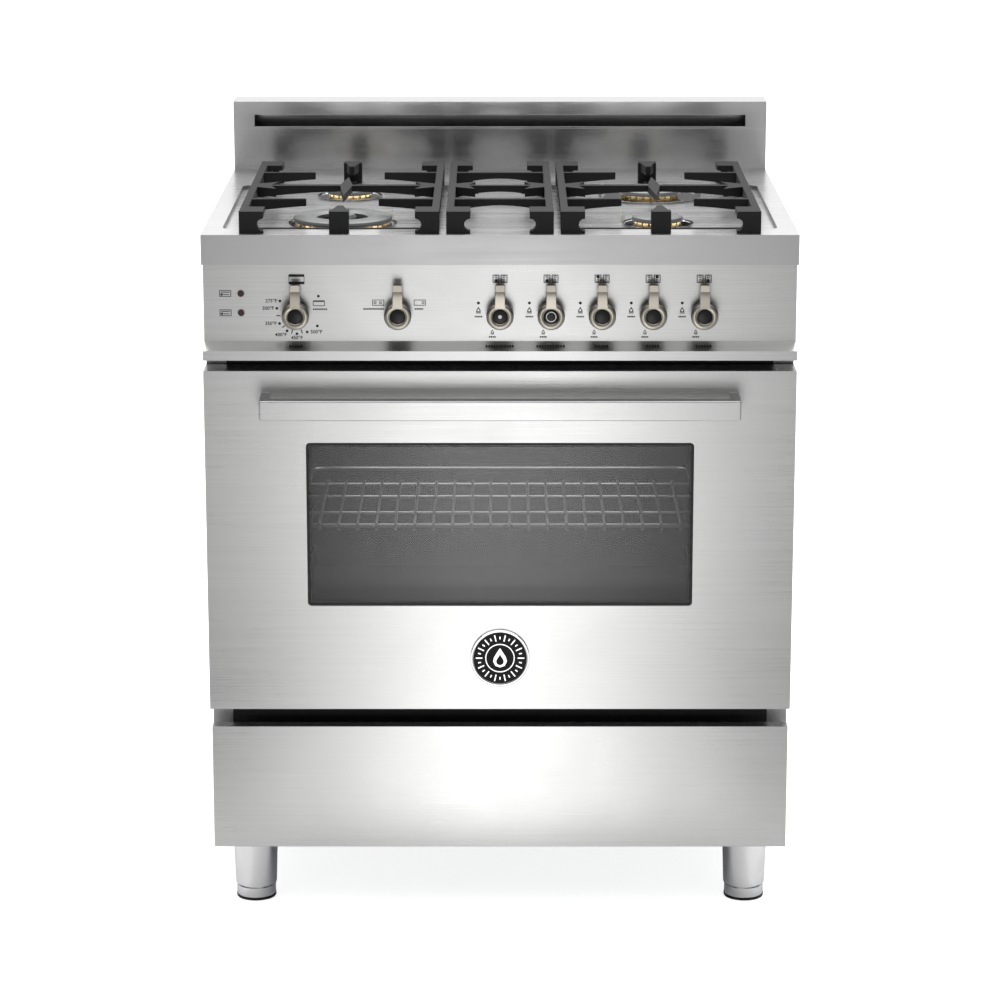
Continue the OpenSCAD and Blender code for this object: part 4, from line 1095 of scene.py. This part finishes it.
@dataclass
class Controls(SubAssembly):
    """The control panel with its print, knobs and lamps.

    Attributes:
        recess: how far the upright face stands behind the front of the range.
        ledge_rise: height of the sloped ledge under the face.
        ledge_drop: how far the ledge's front edge lies below the top of the panel.
        print_drop: how far the print sits below the level of the knob axes.
        knobs: the knobs, from left to right.
        burners: the burner that each hob knob serves.
        names: width of the row of dashes under each knob that has one.
    """

    finishes: dict[str, Finish] = field(default_factory=lambda: {
        "control_panel": PALETTE.panel,
        "indicator_lamps": PALETTE.lens,
    })
    recess: float = 0.026
    ledge_rise: float = 0.0077
    ledge_drop: float = 0.111
    print_drop: float = 0.0058
    knobs: tuple[Knob, ...] = (
        Knob("knob_thermostat"),
        Knob("knob_function"),
        Knob("knob_wok_inner", CapMark.DOT),
        Knob("knob_wok_outer", CapMark.RING),
        Knob("knob_rear_left"),
        Knob("knob_rear_right"),
        Knob("knob_front_right"),
    )
    burners: dict[str, Burner] = field(default_factory=lambda: {
        "knob_wok_inner": Burner.FRONT_LEFT,
        "knob_wok_outer": Burner.FRONT_LEFT,
        "knob_rear_left": Burner.REAR_LEFT,
        "knob_rear_right": Burner.REAR_RIGHT,
        "knob_front_right": Burner.FRONT_RIGHT,
    })
    names: dict[str, float] = field(default_factory=lambda: {
        "knob_thermostat": 0.018,
        "knob_wok_inner": 0.037,
        "knob_wok_outer": 0.037,
        "knob_rear_left": 0.018,
        "knob_rear_right": 0.018,
        "knob_front_right": 0.021,
    })

    def dress(self) -> None:
        """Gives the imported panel, lamps, stems and knobs their finishes."""
        super().dress()
        for knob in self.knobs:
            stem = knob.name.replace("knob_", "stem_")
            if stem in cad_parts:
                dress(stem, PALETTE.steel)
            dress(knob.name, PALETTE.knob)

    def build(self) -> None:
        """Builds the knobs and the print."""
        low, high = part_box("control_panel")
        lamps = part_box("indicator_lamps")
        lamp_r = (lamps[1].x - lamps[0].x) / 2
        knob_low, knob_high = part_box(self.knobs[0].name)
        axis_z = knob_low.z + (knob_high.x - knob_low.x) / 2
        printed = PanelPrint(low.y + self.recess, axis_z - self.print_drop)
        places = {}
        for knob in self.knobs:
            knob.build()
            places[knob.name] = middle(knob.name).x
        printed.thermostat(places["knob_thermostat"])
        printed.function(places["knob_function"])
        for name, burner in self.burners.items():
            printed.burner(name, places[name], burner)
        printed.lamps(middle("indicator_lamps").x, (lamps[0].z + lamp_r, lamps[1].z - lamp_r))
        ledge = Vector((0.0, low.y, high.z - self.ledge_drop))
        names = {places[name]: width for name, width in self.names.items()}
        printed.ledge(names, ledge, self.ledge_rise)


# ---------- door ----------


@dataclass
class Door(SubAssembly):
    """The oven door: skin, glass, handle and badge.

    Attributes:
        window_w: width of the window.
        window_h: height of the window.
        window_r: radius of its corners.
        window_drop: how far its upper edge lies below the top of the door.
        border: width of the black edge around the window.
        line: width of the fine line inside the border.
        line_gap: space around the line, both sides together.
        bar_bevel: rounding of the handle bar's edges.
        bracket_w: width of each handle bracket.
        badge_r: radius of the badge.
        beads: how many beads ring the badge.
    """

    finishes: dict[str, Finish] = field(default_factory=lambda: {
        "door_skin": PALETTE.brushed,
        "door_inner_panel": PALETTE.enamel,
        "door_glass": PALETTE.glass,
        "door_handle": PALETTE.brushed,
        "handle_brackets": PALETTE.brushed,
        "door_badge": PALETTE.badge,
        "hinge_brackets": PALETTE.steel,
    })
    window_w: float = 0.499
    window_h: float = 0.217
    window_r: float = 0.005
    window_drop: float = 0.094
    border: float = 0.0034
    line: float = 0.0012
    line_gap: float = 0.0016
    bar_bevel: float = 0.0022
    bracket_w: float = 0.012
    badge_r: float = 0.0385
    beads: int = 28

    def build(self) -> None:
        """Builds the window's edge, the handle and the badge."""
        self._window()
        self._handle()
        self._badge()

    def _window(self) -> None:
        """Prints the black edge and the fine line inside it on the outer pane."""
        low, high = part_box("door_skin")
        centre = (middle("door_skin").x, high.z - self.window_drop - self.window_h / 2)
        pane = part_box("door_glass")[0].y
        edge = Piece("window_edge", PALETTE.black, "door")
        outer = rounded(self.window_w - 0.0002, self.window_h - 0.0002, self.window_r)
        clear_w, clear_h = self.window_w - 2 * self.border, self.window_h - 2 * self.border
        edge.frame(outer, rounded(clear_w, clear_h, self.window_r * 0.6), low.y + 0.0008, pane, centre)
        edge.settle(bevel=0.0003)
        line = Piece("window_line", PALETTE.faint_ink, "door")
        out_w, out_h = clear_w - self.line_gap, clear_h - self.line_gap
        line.frame(rounded(out_w, out_h, self.window_r * 0.5),
                   rounded(out_w - 2 * self.line, out_h - 2 * self.line, self.window_r * 0.4),
                   pane - 0.0001, pane, centre)
        line.settle()

    def _handle(self) -> None:
        """Builds the square bar with eased edges, and its two end brackets with their seams."""
        low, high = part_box("door_handle")
        bar = Piece("handle_bar", PALETTE.brushed, "door")
        bar.block(low, high)
        bar.settle(bevel=self.bar_bevel, replaces=("door_handle",))
        bracket_low, bracket_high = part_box("handle_brackets")
        outer = high.x - abs(bracket_low.x - low.x)
        inner = outer - self.bracket_w
        seam = 0.0005
        for side, name in ((-1, "handle_end_left"), (1, "handle_end_right")):
            end = Piece(name, PALETTE.brushed, "door")
            left, right = sorted((side * outer, side * inner))
            end.block(Vector((left, high.y - 0.0006, bracket_low.z + seam)),
                      Vector((right, bracket_high.y - 0.0002, bracket_high.z - seam)))
            end.settle(bevel=0.0012, replaces=("handle_brackets",) if side < 0 else ())

    def _badge(self) -> None:
        """Builds a plain round badge: rim, black field, a ring of beads, an inner ring and a drop."""
        low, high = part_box("door_badge")
        centre = middle("door_badge")
        place = (centre.x, centre.z)
        rim = self.badge_r
        back = high.y - 0.0002
        field_y = low.y + 0.0007
        disc = Piece("badge_field", PALETTE.badge, "door")
        disc.lathe([(0.0, field_y), (rim * 0.9, field_y), (rim * 0.93, back), (0.0, back)], centre)
        disc.settle(replaces=("door_badge",))
        metal = Piece("badge_metal", PALETTE.bowl, "door")
        metal.lathe([(rim * 0.90, back), (rim * 0.90, low.y + 0.0006), (rim * 0.925, low.y),
                     (rim * 0.975, low.y), (rim, low.y + 0.0009), (rim, back)], centre, 96)
        metal.settle()
        inlay = Piece("badge_inlay", PALETTE.bowl, "door")
        top, seat = field_y - 0.0002, field_y + 0.0003
        inlay.frame(circle(rim * 0.50, 64), circle(rim * 0.465, 64), top, seat, place)
        mid, half_w = rim * 0.71, rim * 0.022
        for i in range(self.beads):
            half_l = rim * (0.115 if i % 2 == 0 else 0.05)
            angle = 2 * math.pi * i / self.beads
            c, s = math.cos(angle), math.sin(angle)
            bead = ((-half_l, -half_w), (half_l, -half_w), (half_l, half_w), (-half_l, half_w))
            outline = [((mid + u) * c - v * s, (mid + u) * s + v * c) for u, v in bead]
            inlay.prism(outline, top, seat, place)
        right = [(0.10, 0.20), (0.21, 0.02), (0.235, -0.12), (0.16, -0.27)]
        drop = [(0.0, 0.36), *right, (0.0, -0.33), *((-x, z) for x, z in reversed(right))]
        core = [(x * 0.55, z * 0.55 - 0.07) for x, z in drop]
        inlay.frame([(x * rim, z * rim) for x, z in drop], [(x * rim, z * rim) for x, z in core],
                    top, seat, place)
        inlay.settle()


# ---------- oven and drawer ----------


@dataclass
class Oven(SubAssembly):
    """The enamelled cavity behind the door, with its rack, fan, burners and lamp."""

    finishes: dict[str, Finish] = field(default_factory=lambda: {
        "oven_liner": PALETTE.enamel,
        "oven_insulation": PALETTE.wool,
        "oven_front_frame": PALETTE.black,
        "door_gasket": PALETTE.seal,
        "rack_guides": PALETTE.wire,
        "oven_burners": PALETTE.steel,
        "oven_floor_plate": PALETTE.enamel,
        "fan_cover": PALETTE.enamel,
        "fan_motor": PALETTE.steel,
        "fan_blade": PALETTE.steel,
        "oven_lamp": PALETTE.ceramic,
        "oven_rack": PALETTE.wire,
    })


@dataclass
class Drawer(SubAssembly):
    """The storage drawer under the oven."""

    finishes: dict[str, Finish] = field(default_factory=lambda: {
        "drawer_front": PALETTE.brushed,
        "drawer_box": PALETTE.zinc,
    })


# ---------- studio ----------


def add_lamp(name: str, kind: str, power: float) -> bpy.types.Object:
    """Adds a lamp that is hidden from direct view.

    Args:
        name: the lamp's name.
        kind: its type, such as AREA or SUN.
        power: its power.

    Returns:
        The lamp.
    """
    data = bpy.data.lights.new(name, kind)
    data.energy = power
    lamp = bpy.data.objects.new(name, data)
    lamp.visible_camera = False
    bpy.context.scene.collection.objects.link(lamp)
    return lamp


def add_area(name: str, size: tuple[float, float], power: float) -> bpy.types.Object:
    """Adds a rectangular area lamp.

    Args:
        name: the lamp's name.
        size: its width and height.
        power: its power in watts.

    Returns:
        The lamp.
    """
    lamp = add_lamp(name, "AREA", power)
    lamp.data.shape = "RECTANGLE"
    lamp.data.size, lamp.data.size_y = size
    return lamp


@dataclass(frozen=True)
class Softbox:
    """One area light.

    Attributes:
        name: the light's name.
        place: its middle.
        aim: the point that it faces.
        size: its width and height.
        power: its power in watts.
    """

    name: str
    place: tuple[float, float, float]
    aim: tuple[float, float, float]
    size: tuple[float, float]
    power: float

    def build(self) -> None:
        """Adds the light, turned to its aim."""
        lamp = add_area(self.name, self.size, self.power)
        lamp.location = self.place
        lamp.rotation_euler = (Vector(self.aim) - Vector(self.place)).to_track_quat("-Z", "Y").to_euler()


@dataclass(frozen=True)
class StripRun:
    """A stretch of strip lights, stacked one over the other.

    Attributes:
        near: Y and Z of the end nearest the range.
        far: Y and Z of the other end.
        widths: width of each strip.
        glow: brightness of each strip.
    """

    near: tuple[float, float]
    far: tuple[float, float]
    widths: tuple[float, ...]
    glow: float


@dataclass
class Studio:
    """A pale floor, soft light with darker sides, and the camera in front and a little above.

    Attributes:
        stand_off: distance from the camera to the plane of the door.
        eye_z: height of the camera.
        tilt: angle in degrees that the camera looks down.
        lens: focal length in millimetres.
        runs: the strip lights in front of the range.
        strip_gap: space between stacked strips.
        sun_power: power of the light from straight above.
        surround: brightness of the world.
        softboxes: the other lights.
        floor_size: half width of the floor, and height of the walls at its far edges.
    """

    stand_off: float = 4.309
    eye_z: float = 1.615
    tilt: float = 13.7
    lens: float = 123.8
    runs: tuple[StripRun, ...] = (
        StripRun((-0.62, 0.005), (-1.45, 0.12), (0.18, 0.40, 0.68), 0.60),
        StripRun((-1.45, 0.12), (-3.0, 0.42), (0.26, 0.50, 0.80), 0.80),
        StripRun((-3.0, 0.42), (-3.6, 0.47), (0.42, 0.76, 1.08), 1.35),
    )
    strip_gap: float = 0.002
    sun_power: float = 1.6
    surround: float = 0.42
    softboxes: tuple[Softbox, ...] = (
        Softbox("overhead", (0.0, 0.9, 2.6), (0.0, 0.3, 0.9), (1.8, 1.2), 26.0),
        Softbox("front_top", (0.0, -2.2, 2.9), (0.0, 0.3, 0.95), (2.4, 1.0), 3.0),
        Softbox("oven_lamp_light", (0.0, -0.05, 0.695), (0.0, -0.05, 0.4), (0.45, 0.36), 0.9),
    )
    floor_size: float = 40.0

    def build(self) -> None:
        """Builds the floor, world, lights and camera."""
        self._floor()
        self._world()
        self._strips()
        self._sun()
        for softbox in self.softboxes:
            softbox.build()
        self._camera()

    def _strips(self) -> None:
        """Adds the long slanted strips in front, stacked so that the glow falls off to both sides."""
        for run in self.runs:
            (y0, z0), (y1, z1) = run.near, run.far
            length = math.hypot(y1 - y0, z1 - z0)
            for i, width in enumerate(run.widths):
                lamp = add_area(f"front_strip_{i}", (width, length), run.glow * math.pi * width * length)
                lamp.location = (0.0, (y0 + y1) / 2, (z0 + z1) / 2 + self.strip_gap * i)
                lamp.rotation_euler = (math.pi - math.atan2(z1 - z0, y0 - y1), 0.0, 0.0)

    def _sun(self) -> None:
        """Adds a very soft light from straight above, which keeps the floor pale."""
        add_lamp("ceiling", "SUN", self.sun_power).data.angle = math.radians(100.0)

    def _sheet(self, name: str, wall: float = 0.0) -> tuple[bpy.types.Object, NodeSketch]:
        """Adds a wide level sheet that belongs to the studio.

        Args:
            name: the sheet's name.
            wall: height of the walls that rise from its far edges, or 0 for none.

        Returns:
            The sheet, and the sketch of its material.
        """
        mesh = bmesh.new()
        bmesh.ops.create_grid(mesh, x_segments=8, y_segments=8, size=self.floor_size)
        if wall > 0:
            rim = [edge for edge in mesh.edges if edge.is_boundary]
            raised = bmesh.ops.extrude_edge_only(mesh, edges=rim)["geom"]
            top = [item for item in raised if isinstance(item, bmesh.types.BMVert)]
            bmesh.ops.translate(mesh, verts=top, vec=(0.0, 0.0, wall))
        data = bpy.data.meshes.new(name)
        mesh.to_mesh(data)
        mesh.free()
        sheet = bpy.data.objects.new(name, data)
        bpy.context.scene.collection.objects.link(sheet)
        sketch = NodeSketch(name + "_paper")
        sketch.set(Roughness=0.9, Specular_IOR_Level=0.1)
        data.materials.append(sketch.material)
        return sheet, sketch

    def _floor(self) -> None:
        """Adds the pale floor, and the greyer floor that the metal reflects in front of the range."""
        floor, sketch = self._sheet("floor", wall=self.floor_size)
        sketch.set(Base_Color=(0.93, 0.93, 0.93, 1.0), Emission_Color=(1.0, 1.0, 1.0, 1.0),
                   Emission_Strength=0.8)
        floor.visible_glossy = False
        floor.visible_diffuse = False
        floor.visible_shadow = False
        below, sketch = self._sheet("reflected_floor")
        split = sketch.add("ShaderNodeSeparateXYZ")
        sketch.join(sketch.place, split.inputs["Vector"])
        shade = sketch.span(split.outputs["Y"], 0.0, 1.0, cut=(-1.0, -0.64))
        sketch.tint(shade, (0.36, 0.36, 0.36), (0.93, 0.93, 0.93), cut=(0.0, 1.0))
        below.visible_camera = False
        below.location.z = -0.0005

    def _world(self) -> None:
        """Sets a pale surround, darker towards the left and right and in front of the range."""
        world = bpy.data.worlds.new("studio")
        world.use_nodes = True
        add, join = world.node_tree.nodes.new, world.node_tree.links.new
        split = add("ShaderNodeSeparateXYZ")
        join(add("ShaderNodeTexCoord").outputs["Generated"], split.inputs["Vector"])
        side = add("ShaderNodeMath")
        side.operation = "ABSOLUTE"
        join(split.outputs["X"], side.inputs[0])
        ramp = add("ShaderNodeValToRGB")
        for stop, position, grey in zip(ramp.color_ramp.elements, (0.45, 0.8), (1.0, 0.12)):
            stop.position = position
            stop.color = (grey, grey, grey, 1.0)
        join(side.outputs["Value"], ramp.inputs["Fac"])
        front = add("ShaderNodeMapRange")
        for name, value in (("From Min", -0.5), ("From Max", 0.3), ("To Min", 0.5), ("To Max", 2.2)):
            front.inputs[name].default_value = value
        join(split.outputs["Y"], front.inputs["Value"])
        blend = add("ShaderNodeMath")
        blend.operation = "MULTIPLY"
        join(ramp.outputs["Color"], blend.inputs[0])
        join(front.outputs["Result"], blend.inputs[1])
        background = world.node_tree.nodes["Background"]
        join(blend.outputs["Value"], background.inputs["Color"])
        background.inputs["Strength"].default_value = self.surround
        bpy.context.scene.world = world

    def _camera(self) -> None:
        """Adds the camera, in front and a little above, looking slightly down."""
        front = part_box("door_skin")[0].y
        data = bpy.data.cameras.new("camera")
        data.lens = self.lens
        data.sensor_width = 36.0
        data.clip_end = 100.0
        camera = bpy.data.objects.new("camera", data)
        camera.location = (0.0, front - self.stand_off, self.eye_z)
        camera.rotation_euler = (math.radians(90.0 - self.tilt), 0.0, 0.0)
        bpy.context.scene.collection.objects.link(camera)
        bpy.context.scene.camera = camera
        bpy.context.scene.view_settings.view_transform = "Standard"


def main() -> None:
    """Builds and dresses every sub-assembly in order."""
    logging.basicConfig(level=logging.INFO, format="%(name)s: %(message)s")
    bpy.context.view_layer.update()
    for part in (Body(), Hob(), Controls(), Door(), Oven(), Drawer()):
        part.dress()
        part.build()
        LOG.info("%s is dressed", type(part).__name__)
    Studio().build()


if __name__ == "__main__":
    main()
